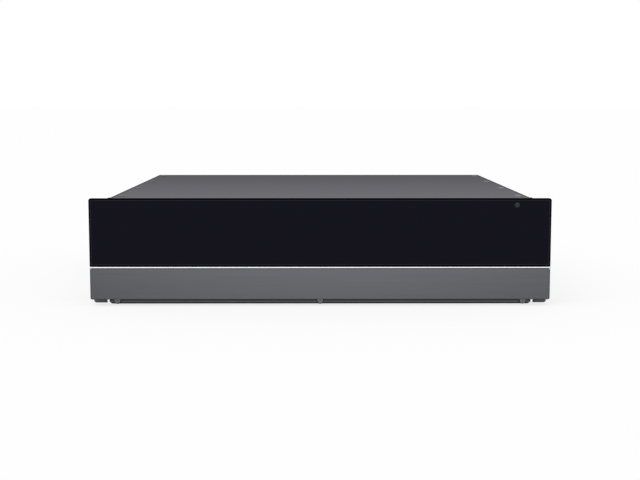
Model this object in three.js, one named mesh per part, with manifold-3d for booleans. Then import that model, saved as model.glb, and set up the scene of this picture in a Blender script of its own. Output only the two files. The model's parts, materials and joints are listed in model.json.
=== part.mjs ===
// A push-to-open warming drawer, built into a 60 cm wide kitchen column.
//
// Millimetres, seen from the front: +X to the right, +Y to the back, +Z up.
// While it is built, x = 0 is the middle, z = 0 the underside of the base and y = 0 the back of the
// mounting flanges, which lie against the front edge of the cabinet. The root group then moves the
// whole drawer so that its origin is in the middle of its footprint.

import * as THREE from "three";
import { mergeVertices } from "three/addons/utils/BufferGeometryUtils.js";
import Module from "manifold-3d";

const wasm = await Module();
wasm.setup();

// ---------------------------------------------------------------------------------------------
// Driving dimensions
// ---------------------------------------------------------------------------------------------

const GAP = 0.3; // left between two pieces that seat on each other
const SHEET = 1.0; // steel sheet of the housing and the drawer
const BEND = 1.5; // bend radius on the middle of folded sheet

// Housing
const HOUSING_WIDTH = 552;
const HOUSING_HEIGHT = 137.7;
const HOUSING_DEPTH = 529; // from the flanges' back to the outside of the back
const FLANGE = 19.7; // width of each mounting flange, beside the housing
const FLANGE_BOTTOM = 1.8; // height of their lower ends
const FLANGE_CHAMFER = 2;
const FLANGE_RELIEF = 2.3; // cut beside the web, so that the fold ends cleanly at the bottom
const FLANGE_RELIEF_HEIGHT = 9;
const FLANGE_HOLE = 2.4; // radius of the holes for the cabinet screws
const FLANGE_HOLE_PITCH = 80;
const TOP_FOLD = 20; // width of the side panels' top folds, which the cover is screwed to
const REAR_FOLD = 13.5;
const LIP = 12; // height of the base's upturned edge
const BASE_BEND = 2.5; // outer bend radius of the base
const BEADS = 4;
const BEAD_LENGTH = 300;
const BEAD_WIDTH = 16;
const BEAD_HEIGHT = 2;
const BEAD_PITCH = 110;
const COVER_LIP = 6; // height of the top cover's front lip
const COVER_SCREW_EDGE = 12.5; // from the cover's side edge to its screws
const COVER_SCREW_FIRST = 40; // from the flanges' back to the first screw
const COVER_SCREW_PITCH = 146;
const COVER_SCREWS = 4; // along each side
const COVER_SCREW_HOLE = 2.1;
const COVER_SCREW_PILOT = 1.5; // radius of the holes in the top folds under them
const BASE_SCREW_EDGE = 11; // from the housing's sides to the outer base screws
const BASE_SCREW_HEIGHT = 5.3;
const BASE_SCREW_HEAD = 4; // radius
const BASE_SCREW_SHANK = 1.8;
const BASE_SCREW_LENGTH = 10;
const BUFFER = 1.2; // thickness of the rubber buffers that the front closes against
const BUFFER_WIDTH = 6;
const BUFFER_ABOVE = 1.9; // how far the buffers stand over the top cover
const BUFFER_OUT = 0.3; // and out of the housing's sides
const BUFFER_HEIGHT = 14;

// Vents
const VENT_WIDTH = 4;
const VENT_LENGTH = 30;
const VENT_PITCH = 14;
const BACK_VENTS = 9;
const BACK_VENT_RISE = 15.5; // above the middle of the housing
const SIDE_VENTS = 5;
const SIDE_VENT_RISE = 30;
const SIDE_VENT_REAR = 95; // from the back panel to the middle of the side vents

// Mains inlet
const GLAND_EDGE = 61; // from the housing's right side
const GLAND_Z = 25;
const GLAND_RADIUS = 7.5; // of the neck in the back panel
const GLAND_FLANGE = 10.5;
const GLAND_REACH = 5; // behind the back panel
const GLAND_BORE = 4;
const TERMINAL_WIDTH = 62;
const TERMINAL_DEPTH = 38;
const TERMINAL_HEIGHT = 15;
const TERMINAL_WALL = 2;
const TERMINAL_REAR = 5; // from the base's rear edge
const TERMINAL_BLOCK_WIDTH = 40;
const TERMINAL_BLOCK_DEPTH = 16;
const TERMINALS = 3;
const TERMINAL_PITCH = 12;
const TERMINAL_WELL = 3; // radius

// Front
const FRONT_OVERLAP = 1.8; // of the front past each flange
const FRONT_ABOVE = 2; // how far the front stands over the top cover
const FRONT_BOTTOM = 8.3; // above the underside of the base
const FRONT_REACH = 18; // from the flanges' back to the face of the glass
const GLASS = 4; // thickness
const GLASS_CORNER = 3;
const TRIM_HEIGHT = 2.2;
const TRIM_PROUD = 0.2; // how far the strip stands out of the glass
const TRIM_OVERHANG = 0.5; // past the ends of the glass
const LOWER_HEIGHT = 40.2;
const LOWER_CORNER = 1.8;
const LOWER_RETURN = 10; // depth of the lower panel's turned edges
const CARRIER_EDGE = 1.2; // how far the carrier stays inside the glass's outline
const CARRIER_WINDOW = 54; // width and height of its lightening holes
const CARRIER_WINDOWS = 4;
const CARRIER_WINDOW_PITCH = 128;
const INNER_SHEET = 0.8; // sheet of the inner front panel
const INNER_RETURN = 5;
const PUSH_TRAVEL = 3; // the front is pushed in by this much to open the drawer
const PUSH_SPARE = 0.2; // left to the buffers when it is pushed in
const LAMP_EDGE = 44.2; // from the front's right edge
const LAMP_DROP = 8.7; // from the glass's top edge
const LAMP_RADIUS = 3.5;
const LAMP_BODY = 5;

// Basin
const RIM_SIDE = 25.7; // from the tray's inside to the skirt's outside, at the sides
const RIM_FRONT = 42;
const RIM_BACK = 11;
const TRAY_CORNER = 25;
const TRAY_BEND = 12; // between floor and walls, inside
const FLOOR_Z = 24; // upper face of the floor
const RIM_DROP = 20.7; // from the underside of the top cover to the rim
const RIM_BEND = 3;
const SKIRT_BEND = 2.5;
const SKIRT_FRONT = 2;
const SKIRT_BOTTOM = 36;
const SKIRT_CORNER = 6;
const MAT = 2; // thickness of the anti-slip mat
const MAT_MARGIN = 3; // from the mat to where the floor bends up

// Front brackets
const BRACKET_SHEET = 1.2;
const BRACKET_EDGE = 30.7; // from the skirt's side to where a bracket crosses to the front
const BRACKET_FOOT = 25;
const BRACKET_HEIGHT = 66;
const BRACKET_DROP = 8; // below the rim

// Runners: three members each, with a ball cage in each gap
const RUNNER_FRONT = 8;
const RUNNER_SHORT = 4; // from their rear ends to the skirt's back
const RUNNER_RISE = 26; // from the skirt's lower edge to their middle
const RUNNER_HEIGHT = 45.5;
const RUNNER_THICKNESS = 12.7;
const RUNNER_SHEET = 1.2;
const RUNNER_BEND = 1.6;
const BALL_RADIUS = 2;
const INNER_ROW_EDGE = 3.7; // from the inner balls' middle to the drawer's side of the runner
const MIDDLE_WEB = 3; // from the mounting face to the middle member's web
const HUMP_BEND = 0.9;
const CAGE_SHEET = 0.5;
const CAGE_SPARE = 10; // how much shorter a cage is than the members' least overlap
const CAGE_BALLS = 4; // in a row
const RUNNER_HOLD = 15; // how much shorter the drawer's travel is than the runners

// Heater compartment behind the basin
const COMPARTMENT_SIDE = 31.7; // from the skirt's side to the compartment's
const COMPARTMENT_CLEARANCE = 7; // between its back and the housing's
const COMPARTMENT_FLANGE = 9; // below the rim
const COMPARTMENT_LAP = 5; // over the lower edge of the skirt
const COMPARTMENT_VENTS = 10;
const COMPARTMENT_VENT_RISE = 24; // above the basin's floor
const GRILLE_WIDTH = 260;
const GRILLE_RISE = 22; // above the basin's floor
const GRILLE_DROP = 16; // below the rim
const GRILLE_MARGIN = 5; // from the plate's edge to the collar behind it
const GRILLE_SLOTS = 18;
const GRILLE_SLOT_WIDTH = 5;
const GRILLE_LAND = 5; // from a slot's end to the edge of the air way
const ELEMENT_TUBE = 3.25; // radius
const ELEMENT_PITCH = 11; // about, from pass to pass
const ELEMENT_EDGE = 5.5; // from the edge of the air way to the outer passes' middle
const ELEMENT_OVERHANG = 15; // of its turns past the grille
const ELEMENT_TAIL = 14;
const ELEMENT_OFFSET = 3; // from the basin to the tube's skin
const CLIP_OFFSET = 6; // outside the air way
const CLIP_SHEET = 1.2;
const CLIP_FOOT = 12;
const CLIP_MARGIN = 3; // of plate round the outer passes
const SAFETY_EDGE = 45; // from the compartment's left end
const SAFETY_RADIUS = 8;
const SAFETY_HEIGHT = 9;

// Cross-flow blower
const WHEEL_RADIUS = 22;
const WHEEL_INSET = 10; // of its ends from the grille's
const WHEEL_DISC = 1.6;
const WHEEL_FRONT = 3.5; // from the element to the wheel
const WHEEL_RISE = 42; // of its axis above the basin's floor
const BLADES = 14;
const BLADE_CHORD = 8;
const BLADE_THICKNESS = 0.8;
const BLADE_BOW = [35, 145]; // degrees of the blade's arc
const SHAFT_RADIUS = 2;
const SCROLL_GAP_START = 2;
const SCROLL_GAP_END = 4;
const SCROLL_SHEET = 1.2;
const SCROLL_END_GAP = 3; // between the wheel and the end plates
const SCROLL_SEAM = 1.8; // between its flanges and the compartment cover's
const SCROLL_REAR = 0.8; // from its wall to the compartment's back
const TONGUE = 17; // degrees that the lip by the wheel reaches round it
const BUSH_RADIUS = 6;
const MOTOR_OFFSET = 12; // from the scroll to the lamination stack
const STACK = 20; // its thickness
const STACK_WIDTH = 40;
const STACK_ABOVE = 20; // the wheel's axis
const COIL_FLOOR = 2.7; // from the coil to the compartment's floor
const MOTOR_PLATE_BELOW = 18;
const POST_EDGE = 5; // from the stack's sides to its posts
const POST_RISE = 12; // above the axis
const POST_RADIUS = 2;
const POST_COLLAR = 3.4;
const POST_END = 5; // past the stack
const ROTOR_RADIUS = 12;
const COIL_WALL = 5;
const COIL_LEG = 9; // height of the leg that the coil sits on
const COIL_WIDTH = 22;

// Controls on the basin's front rim
const FASCIA_SHEET = 1;
const FASCIA_EDGE = 5.7; // from the skirt's right side
const FASCIA_WIDTH = 92;
const FASCIA_DEPTH = 32;
const KNOB_INSET = 68; // from the fascia's right end
const KNOB_RADIUS = 15;
const KNOB_HEIGHT = 12;
const KNOB_FLUTES = 10;
const KNOB_CLEARANCE = 0.4;
const SPINDLE_RADIUS = 3;
const THERMOSTAT_WIDTH = 38;
const THERMOSTAT_DEPTH = 30;
const THERMOSTAT_HEIGHT = 20;
const ROCKER_INSET = 23; // from the fascia's right end
const ROCKER_RADIUS = 11.5; // from the pivot to its ends
const ROCKER_WIDTH = 9;
const ROCKER_RISE = 8.8; // of its ends above the pivot
const ROCKER_DIP = 6; // of its middle above the pivot
const ROCKER_TILT = 7; // degrees each way from level
const ROCKER_SIDE = 15; // degrees that its round ends reach below the pivot
const ROCKER_PIVOT_DEPTH = 3; // below the fascia
const FRAME_FLANGE_LENGTH = 30;
const FRAME_FLANGE_WIDTH = 15;
const FRAME_FLANGE_HEIGHT = 1.4;
const FRAME_WALL = 1.2;
const FRAME_DEPTH = 17;

// Push latch at the back
const LATCH_Z = 12;
const LATCH_REAR = 4; // from the housing's back
const LATCH_LENGTH = 50;
const LATCH_WIDTH = 17;
const LATCH_HEIGHT = 18;
const PLUNGER_RADIUS = 3.5;
const PLUNGER_REACH = 15; // from the latch's mouth to the head's tip
const PLUNGER_HEAD = 5;
const PLUNGER_HEAD_LENGTH = 3;
const PLUNGER_STROKE = 4;
const STRIKER_PLAY = 3.3; // between the head and the bottom of the striker's cup
const STRIKER_BORE = 6.5;
const STRIKER_WALL = 1.2;
const STRIKER_DEPTH = 9;

// ---------------------------------------------------------------------------------------------
// Levels and faces that follow from them
// ---------------------------------------------------------------------------------------------

const WEB_OUT = HOUSING_WIDTH / 2; // outer face of a side panel
const FLANGE_OUT = WEB_OUT + FLANGE;
const WEB_IN = WEB_OUT - SHEET;
const COVER_UNDER = HOUSING_HEIGHT - SHEET;
const SIDE_TOP = COVER_UNDER - GAP;
const BACK_IN = HOUSING_DEPTH - SHEET;
const REAR_FOLD_BACK = BACK_IN - GAP;
const BASE_BACK = REAR_FOLD_BACK - SHEET - GAP;
const BASE_HALF = WEB_IN - GAP;
const BASE_FLOOR = SHEET;
const HOUSING_MIDDLE = (FLANGE_BOTTOM + SIDE_TOP) / 2;
const BUFFER_TOP = HOUSING_HEIGHT + BUFFER_ABOVE;
const GLAND_X = WEB_OUT - GLAND_EDGE;
const TERMINAL_BACK = BASE_BACK - TERMINAL_REAR;

const GLASS_FRONT = -FRONT_REACH;
const CARRIER_FRONT = GLASS_FRONT + GLASS + GAP;
const FRONT_BACK = -(SHEET + GAP + BUFFER + PUSH_TRAVEL + PUSH_SPARE);
const CARRIER_BACK = FRONT_BACK - INNER_SHEET - GAP;
const LOWER_TOP = FRONT_BOTTOM + LOWER_HEIGHT;
const TRIM_BOTTOM = LOWER_TOP + GAP;
const GLASS_BOTTOM = TRIM_BOTTOM + TRIM_HEIGHT + GAP;
const FRONT_TOP = HOUSING_HEIGHT + FRONT_ABOVE;
const FRONT_HALF = FLANGE_OUT + FRONT_OVERLAP;
const LAMP_X = FRONT_HALF - LAMP_EDGE;
const LAMP_Z = FRONT_TOP - LAMP_DROP;

const COMPARTMENT_BACK = BACK_IN - COMPARTMENT_CLEARANCE;
const WHEEL_Y = COMPARTMENT_BACK - SHEET - SCROLL_REAR - SCROLL_SHEET - SCROLL_GAP_END - WHEEL_RADIUS;
const SKIRT_BACK = WHEEL_Y - WHEEL_RADIUS - WHEEL_FRONT - 2 * ELEMENT_TUBE - ELEMENT_OFFSET;
const COMPARTMENT_FRONT = SKIRT_BACK + GAP;
const RUNNER_FACE = WEB_IN - GAP; // the runner's mounting face
const INNER_ROW = RUNNER_THICKNESS - INNER_ROW_EDGE;
const RUNNER_Z = SKIRT_BOTTOM + RUNNER_RISE;
const RUNNER_LENGTH = SKIRT_BACK - RUNNER_SHORT - RUNNER_FRONT;
const TRAVEL = RUNNER_LENGTH - RUNNER_HOLD; // of the drawer
const CAGE_LENGTH = RUNNER_LENGTH - TRAVEL / 2 - CAGE_SPARE;
const SKIRT_HALF = RUNNER_FACE - RUNNER_THICKNESS - GAP;
const TRAY_HALF = SKIRT_HALF - RIM_SIDE;
const TRAY_FRONT = SKIRT_FRONT + RIM_FRONT;
const TRAY_BACK = SKIRT_BACK - RIM_BACK;
const RIM_Z = COVER_UNDER - RIM_DROP; // upper face of the rim
const RIM_UNDER = RIM_Z - SHEET;
const BRACKET_X = SKIRT_HALF - BRACKET_EDGE;
const BRACKET_Z = RIM_Z - BRACKET_DROP - BRACKET_HEIGHT;
const COMPARTMENT_HALF = SKIRT_HALF - COMPARTMENT_SIDE;
const GRILLE_BOTTOM = FLOOR_Z + GRILLE_RISE;
const GRILLE_TOP = RIM_Z - GRILLE_DROP;
const SAFETY_X = SAFETY_EDGE - COMPARTMENT_HALF;
const WHEEL_Z = FLOOR_Z + WHEEL_RISE;
const STACK_TOP = WHEEL_Z + STACK_ABOVE;
const STACK_BOTTOM = FLOOR_Z + SHEET + COIL_FLOOR + COIL_WALL + GAP;
const FASCIA_TOP = RIM_Z + GAP + FASCIA_SHEET;
const FASCIA_RIGHT = SKIRT_HALF - FASCIA_EDGE;
const CONTROL_Y = (SKIRT_FRONT + TRAY_FRONT) / 2;
const KNOB_X = FASCIA_RIGHT - KNOB_INSET;
const ROCKER_X = FASCIA_RIGHT - ROCKER_INSET;
const ROCKER_PIVOT_Z = FASCIA_TOP - ROCKER_PIVOT_DEPTH;
const LATCH_BACK = BACK_IN - LATCH_REAR;
const LATCH_MOUTH = LATCH_BACK - LATCH_LENGTH;
const REAR_END = HOUSING_DEPTH + GLAND_REACH;

// ---------------------------------------------------------------------------------------------
// Making solids
// ---------------------------------------------------------------------------------------------

const X = new THREE.Vector3(1, 0, 0);
const Y = new THREE.Vector3(0, 1, 0);
const Z = new THREE.Vector3(0, 0, 1);

// A closed geometry as a solid with its faces pointing out.
function solid(geometry) {
  const bare = new THREE.BufferGeometry();
  bare.setAttribute("position", geometry.getAttribute("position"));
  bare.setIndex(geometry.index);
  const merged = mergeVertices(bare, 1e-4);
  const position = merged.getAttribute("position");
  const corner = (i) => new THREE.Vector3().fromBufferAttribute(position, i);
  const triangles = [];
  let volume = 0;
  for (let i = 0; i < merged.index.count; i += 3) {
    const [a, b, c] = [0, 1, 2].map((k) => merged.index.getX(i + k));
    if (a === b || b === c || c === a) continue;
    triangles.push(a, b, c);
    volume += corner(a).dot(corner(b).cross(corner(c)));
  }
  if (volume < 0) triangles.reverse();
  return new wasm.Manifold(
    new wasm.Mesh({
      numProp: 3,
      vertProperties: position.array,
      triVerts: new Uint32Array(triangles),
    }),
  );
}

const join = (...parts) => parts.flat().reduce((whole, part) => whole.add(part));
const cut = (body, ...tools) => tools.flat().reduce((left, tool) => left.subtract(tool), body);

// Points of an arc, in degrees, ends included.
function arc(a, b, radius, from, to, steps = 4) {
  const points = [];
  for (let i = 0; i <= steps; i++) {
    const angle = THREE.MathUtils.degToRad(from + ((to - from) * i) / steps);
    points.push(new THREE.Vector2(a + radius * Math.cos(angle), b + radius * Math.sin(angle)));
  }
  return points;
}

function outline(points) {
  const near = (p, q) => p.distanceTo(q) < 1e-4;
  return new THREE.Shape(points.filter((p, i) => !near(p, points[(i + 1) % points.length])));
}

const rectangle = (a0, b0, a1, b1) =>
  outline([
    new THREE.Vector2(a0, b0),
    new THREE.Vector2(a1, b0),
    new THREE.Vector2(a1, b1),
    new THREE.Vector2(a0, b1),
  ]);

const roundedPoints = (a0, b0, a1, b1, radius, steps) => [
  ...arc(a1 - radius, b0 + radius, radius, -90, 0, steps),
  ...arc(a1 - radius, b1 - radius, radius, 0, 90, steps),
  ...arc(a0 + radius, b1 - radius, radius, 90, 180, steps),
  ...arc(a0 + radius, b0 + radius, radius, 180, 270, steps),
];

const roundedRectangle = (a0, b0, a1, b1, radius, steps = 2) =>
  outline(roundedPoints(a0, b0, a1, b1, radius, steps));

const disc = (a, b, radius, sides = 16) => outline(arc(a, b, radius, 0, 360, sides));

// A slot with round ends, centred on a, b and upright unless it is wider than it is long.
function slot(a, b, width, length, steps = 3) {
  const end = Math.min(width, length) / 2;
  const run = Math.abs(length - width) / 2;
  if (length < width) {
    return outline([...arc(a + run, b, end, -90, 90, steps), ...arc(a - run, b, end, 90, 270, steps)]);
  }
  return outline([...arc(a, b + run, end, 0, 180, steps), ...arc(a, b - run, end, 180, 360, steps)]);
}

// A shape drawn on x,y, on x,z or on y,z, extruded along z, y or x.
function extrude(shape, axis, from, to) {
  const geometry = new THREE.ExtrudeGeometry(shape, { depth: to - from, bevelEnabled: false });
  const turn = new THREE.Matrix4();
  if (axis === "x") turn.makeBasis(Y, Z, X).setPosition(from, 0, 0);
  if (axis === "y") turn.makeBasis(X, Z, Y.clone().negate()).setPosition(0, to, 0);
  if (axis === "z") turn.setPosition(0, 0, from);
  return solid(geometry.applyMatrix4(turn));
}

// A profile of [radius, height] pairs turned about an axis through the centre.
function turned(profile, axis, centre, sides = 20) {
  const points = profile.map(([radius, height]) => new THREE.Vector2(radius, height));
  const geometry = new THREE.LatheGeometry(points, sides);
  const turn = new THREE.Matrix4();
  if (axis === "x") turn.makeBasis(Y.clone().negate(), X, Z);
  if (axis === "z") turn.makeBasis(X, Z, Y.clone().negate());
  return solid(geometry.applyMatrix4(turn.setPosition(...centre)));
}

// The middle line of a sheet whose corners are bent to a radius.
function bent(corners, radius, steps = 2) {
  const points = corners.map(([a, b]) => new THREE.Vector2(a, b));
  const line = [points[0]];
  for (let i = 1; i < points.length - 1; i++) {
    const into = points[i].clone().sub(points[i - 1]).normalize();
    const out = points[i + 1].clone().sub(points[i]).normalize();
    const side = Math.sign(into.cross(out));
    const turn = Math.acos(into.dot(out));
    const start = points[i].clone().addScaledVector(into, -radius * Math.tan(turn / 2));
    const centre = start.clone().add(new THREE.Vector2(-into.y, into.x).multiplyScalar(side * radius));
    for (let k = 0; k <= steps; k++) {
      line.push(start.clone().rotateAround(centre, (side * turn * k) / steps));
    }
  }
  line.push(points.at(-1));
  return line;
}

// The outline of a sheet that follows a middle line.
function ribbon(line, thickness) {
  const normal = (p, q) => new THREE.Vector2(p.y - q.y, q.x - p.x).normalize();
  const sides = [[], []];
  line.forEach((point, i) => {
    const before = normal(line[Math.max(i - 1, 0)], line[Math.max(i, 1)]);
    const last = line.length - 1;
    const after = normal(line[Math.min(i, last - 1)], line[Math.min(i + 1, last)]);
    const mitre = before.clone().add(after).divideScalar(1 + before.dot(after));
    sides[0].push(point.clone().addScaledVector(mitre, thickness / 2));
    sides[1].unshift(point.clone().addScaledVector(mitre, -thickness / 2));
  });
  return outline(sides.flat());
}

// A closed skin through rings with equal numbers of points, capped at the first and the last.
function loft(rings) {
  const count = rings[0].length;
  const positions = [];
  rings.flat().forEach((point) => positions.push(point.x, point.y, point.z));
  const index = [];
  for (let i = 0; i < rings.length - 1; i++) {
    for (let j = 0; j < count; j++) {
      const a = i * count + j;
      const b = i * count + ((j + 1) % count);
      index.push(a, b, b + count, a, b + count, a + count);
    }
  }
  [0, rings.length - 1].forEach((end) => {
    const middle = new THREE.Vector3();
    rings[end].forEach((point) => middle.addScaledVector(point, 1 / count));
    const hub = positions.length / 3;
    positions.push(middle.x, middle.y, middle.z);
    for (let j = 0; j < count; j++) {
      const a = end * count + j;
      const b = end * count + ((j + 1) % count);
      index.push(...(end === 0 ? [hub, b, a] : [hub, a, b]));
    }
  });
  const geometry = new THREE.BufferGeometry();
  geometry.setAttribute("position", new THREE.Float32BufferAttribute(positions, 3));
  geometry.setIndex(index);
  return geometry;
}

// A level ring round a box of x0, x1, y0, y1 and corner radius, drawn in by an inset.
function ring(box, inset, z, steps = 3) {
  const corner = Math.max(box.corner - inset, 0.5);
  const around = [box.x0 + inset, box.y0 + inset, box.x1 - inset, box.y1 - inset];
  return roundedPoints(...around, corner, steps).map((p) => new THREE.Vector3(p.x, p.y, z));
}

// Steps of a quarter turn, each as [sine, cosine].
function quarter(steps = 3) {
  return Array.from({ length: steps + 1 }, (_, i) => {
    const angle = ((i / steps) * Math.PI) / 2;
    return [Math.sin(angle), Math.cos(angle)];
  });
}

// A pressed pan, open at the top: its skin runs up the outside and down the inside.
function panGeometry(box, z0, z1, sheet, bend) {
  const inner = Math.max(bend - sheet, 0.3);
  const level = (inset, z) => ring(box, inset, z, 2);
  const outside = quarter(2).map(([s, c]) => level(bend * (1 - s), z0 + bend * (1 - c)));
  const inside = quarter(2).map(([s, c]) =>
    level(sheet + inner * (1 - s), z0 + sheet + inner * (1 - c)),
  );
  return loft([...outside, level(0, z1), level(sheet, z1), ...inside.reverse()]);
}

// The same pan stood up, with its floor at one y and its rim at another.
function uprightPan({ x0, x1, z0, z1, corner }, floorY, rimY, sheet, bend) {
  const depth = Math.abs(rimY - floorY);
  const opensBack = rimY > floorY;
  const box = { x0, x1, y0: opensBack ? -z1 : z0, y1: opensBack ? -z0 : z1, corner };
  const turn = new THREE.Matrix4();
  if (opensBack) turn.makeBasis(X, Z.clone().negate(), Y);
  else turn.makeBasis(X, Z, Y.clone().negate());
  return solid(panGeometry(box, 0, depth, sheet, bend).applyMatrix4(turn.setPosition(0, floorY, 0)));
}

// A round tube along points that lie in a plane of constant y.
function tube(points, y, radius, sides = 8) {
  const rings = points.map((point, i) => {
    const before = points[Math.max(i - 1, 0)];
    const after = points[Math.min(i + 1, points.length - 1)];
    const along = after.clone().sub(before).normalize();
    return arc(0, 0, radius, 0, 360 - 360 / sides, sides - 1).map(
      (p) => new THREE.Vector3(point.x - along.y * p.x, y + p.y, point.y + along.x * p.x),
    );
  });
  return solid(loft(rings));
}

const row = (count, pitch, place) =>
  Array.from({ length: count }, (_, i) => place((i - (count - 1) / 2) * pitch, i));

// ---------------------------------------------------------------------------------------------
// Housing
// ---------------------------------------------------------------------------------------------

function housingBase() {
  const box = { x0: -BASE_HALF, x1: BASE_HALF, y0: -SHEET, y1: BASE_BACK, corner: BASE_BEND };
  const base = solid(panGeometry(box, 0, LIP, SHEET, BASE_BEND));
  const middle = BASE_BACK / 2;
  const bead = (x, inset, z0, z1) =>
    extrude(slot(x, middle, BEAD_WIDTH - 2 * inset, BEAD_LENGTH - 2 * inset), "z", z0, z1);
  const raised = row(BEADS, BEAD_PITCH, (x) => bead(x, 0, SHEET / 2, SHEET + BEAD_HEIGHT));
  const hollows = row(BEADS, BEAD_PITCH, (x) => bead(x, SHEET, -SHEET, BEAD_HEIGHT));
  const holes = [-1, 0, 1].map((side) =>
    extrude(
      disc(side * (WEB_OUT - BASE_SCREW_EDGE), BASE_SCREW_HEIGHT, BASE_SCREW_SHANK + GAP, 10),
      "y",
      -2 * SHEET,
      SHEET,
    ),
  );
  return cut(join(base, raised), hollows, holes);
}

// The right side panel: a web with folds along its top and rear and the flange at its front.
function housingSide() {
  const web = WEB_OUT - SHEET / 2;
  const plan = [
    [WEB_OUT - REAR_FOLD, REAR_FOLD_BACK - SHEET / 2],
    [web, REAR_FOLD_BACK - SHEET / 2],
    [web, -SHEET / 2],
    [FLANGE_OUT, -SHEET / 2],
  ];
  const panel = extrude(ribbon(bent(plan, BEND), SHEET), "z", FLANGE_BOTTOM, SIDE_TOP);
  const section = [
    [WEB_OUT - TOP_FOLD, SIDE_TOP - SHEET / 2],
    [web, SIDE_TOP - SHEET / 2],
    [web, SIDE_TOP - TOP_FOLD],
  ];
  const overTop = rectangle(WEB_IN - BEND, SIDE_TOP - BEND, WEB_OUT + SHEET, SIDE_TOP + SHEET);
  const topFold = extrude(ribbon(bent(section, BEND), SHEET), "y", 2 * SHEET, REAR_FOLD_BACK - BEND);
  const trimmed = cut(panel, extrude(overTop, "y", 2 * SHEET, REAR_FOLD_BACK - BEND));
  const flangeX = (FLANGE_OUT + WEB_OUT) / 2;
  const flangeHoles = row(2, FLANGE_HOLE_PITCH, (z) =>
    extrude(disc(flangeX, HOUSING_MIDDLE + z, FLANGE_HOLE, 10), "y", -2 * SHEET, SHEET),
  );
  const corners = [FLANGE_BOTTOM, SIDE_TOP].map((z) => {
    const outer = FLANGE_OUT;
    const inward = z === FLANGE_BOTTOM ? FLANGE_CHAMFER : -FLANGE_CHAMFER;
    const triangle = [
      new THREE.Vector2(outer - FLANGE_CHAMFER, z),
      new THREE.Vector2(outer - FLANGE_CHAMFER, z - inward),
      new THREE.Vector2(outer + FLANGE_CHAMFER, z - inward),
      new THREE.Vector2(outer + FLANGE_CHAMFER, z + inward),
      new THREE.Vector2(outer, z + inward),
    ];
    return extrude(outline(triangle), "y", -2 * SHEET, SHEET);
  });
  const vents = row(SIDE_VENTS, VENT_PITCH, (y) =>
    extrude(
      slot(HOUSING_DEPTH - SIDE_VENT_REAR + y, HOUSING_MIDDLE + SIDE_VENT_RISE, VENT_WIDTH, VENT_LENGTH),
      "x",
      WEB_IN - SHEET,
      WEB_OUT + SHEET,
    ),
  );
  const relief = extrude(
    rectangle(WEB_IN - SHEET, 0, WEB_OUT + FLANGE_RELIEF, FLANGE_BOTTOM + FLANGE_RELIEF_HEIGHT),
    "y",
    -2 * SHEET,
    BEND,
  );
  const pilots = coverScrews(COVER_SCREW_PILOT, SIDE_TOP - 2 * SHEET, SIDE_TOP + SHEET, [1]);
  return cut(join(trimmed, topFold), flangeHoles, corners, vents, relief, pilots);
}

// Bars through the places of the cover's screws, on one side or both.
function coverScrews(radius, low, high, sides) {
  const x = WEB_OUT - COVER_SCREW_EDGE;
  return sides.flatMap((side) =>
    Array.from({ length: COVER_SCREWS }, (_, i) =>
      extrude(disc(side * x, COVER_SCREW_FIRST + i * COVER_SCREW_PITCH, radius, 8), "z", low, high),
    ),
  );
}

function housingTop() {
  const profile = [
    [-SHEET / 2, COVER_UNDER - COVER_LIP],
    [-SHEET / 2, HOUSING_HEIGHT - SHEET / 2],
    [HOUSING_DEPTH, HOUSING_HEIGHT - SHEET / 2],
  ];
  const cover = extrude(ribbon(bent(profile, BEND), SHEET), "x", -WEB_OUT, WEB_OUT);
  const low = COVER_UNDER - 2 * COVER_LIP;
  const ends = [-1, 1].map((side) => {
    const inner = side * (WEB_IN - GAP);
    const outer = side * (WEB_OUT + SHEET);
    const notch = rectangle(Math.min(inner, outer), low, Math.max(inner, outer), COVER_UNDER);
    return extrude(notch, "y", -2 * SHEET, 2 * SHEET);
  });
  const holes = coverScrews(COVER_SCREW_HOLE, COVER_UNDER - SHEET, HOUSING_HEIGHT + SHEET, [-1, 1]);
  return cut(cover, ends, holes);
}

function housingBack() {
  const panel = extrude(
    roundedRectangle(-WEB_OUT, GAP, WEB_OUT, SIDE_TOP, BASE_BEND),
    "y",
    BACK_IN,
    HOUSING_DEPTH,
  );
  const vents = row(BACK_VENTS, VENT_PITCH, (x) =>
    extrude(
      slot(x, HOUSING_MIDDLE + BACK_VENT_RISE, VENT_WIDTH, VENT_LENGTH),
      "y",
      BACK_IN - SHEET,
      HOUSING_DEPTH + SHEET,
    ),
  );
  const inlet = extrude(
    disc(GLAND_X, GLAND_Z, GLAND_RADIUS + GAP),
    "y",
    BACK_IN - SHEET,
    HOUSING_DEPTH + SHEET,
  );
  return cut(panel, vents, inlet);
}

// A rubber buffer over the joint of a side flange and the top cover.
function cornerBuffer() {
  const outer = WEB_OUT + BUFFER_OUT;
  const low = BUFFER_TOP - BUFFER_HEIGHT;
  const shape = roundedRectangle(outer - BUFFER_WIDTH, low, outer, BUFFER_TOP, 2.5);
  return extrude(shape, "y", -SHEET - GAP - BUFFER, -SHEET - GAP);
}

// A pan-head screw through the base's front lip.
function baseScrew(x) {
  const head = BASE_SCREW_HEAD;
  const profile = [
    [0, 0],
    [BASE_SCREW_SHANK * 0.6, 0],
    [BASE_SCREW_SHANK, 1],
    [BASE_SCREW_SHANK, BASE_SCREW_LENGTH],
    [head, BASE_SCREW_LENGTH],
    [head, BASE_SCREW_LENGTH + 1],
    [head * 0.72, BASE_SCREW_LENGTH + 2],
    [0, BASE_SCREW_LENGTH + 2.2],
  ];
  const flipped = profile.map(([radius, height]) => [radius, BASE_SCREW_LENGTH - height]);
  return turned(flipped, "y", [x, -SHEET - GAP, BASE_SCREW_HEIGHT], 12);
}

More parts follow.
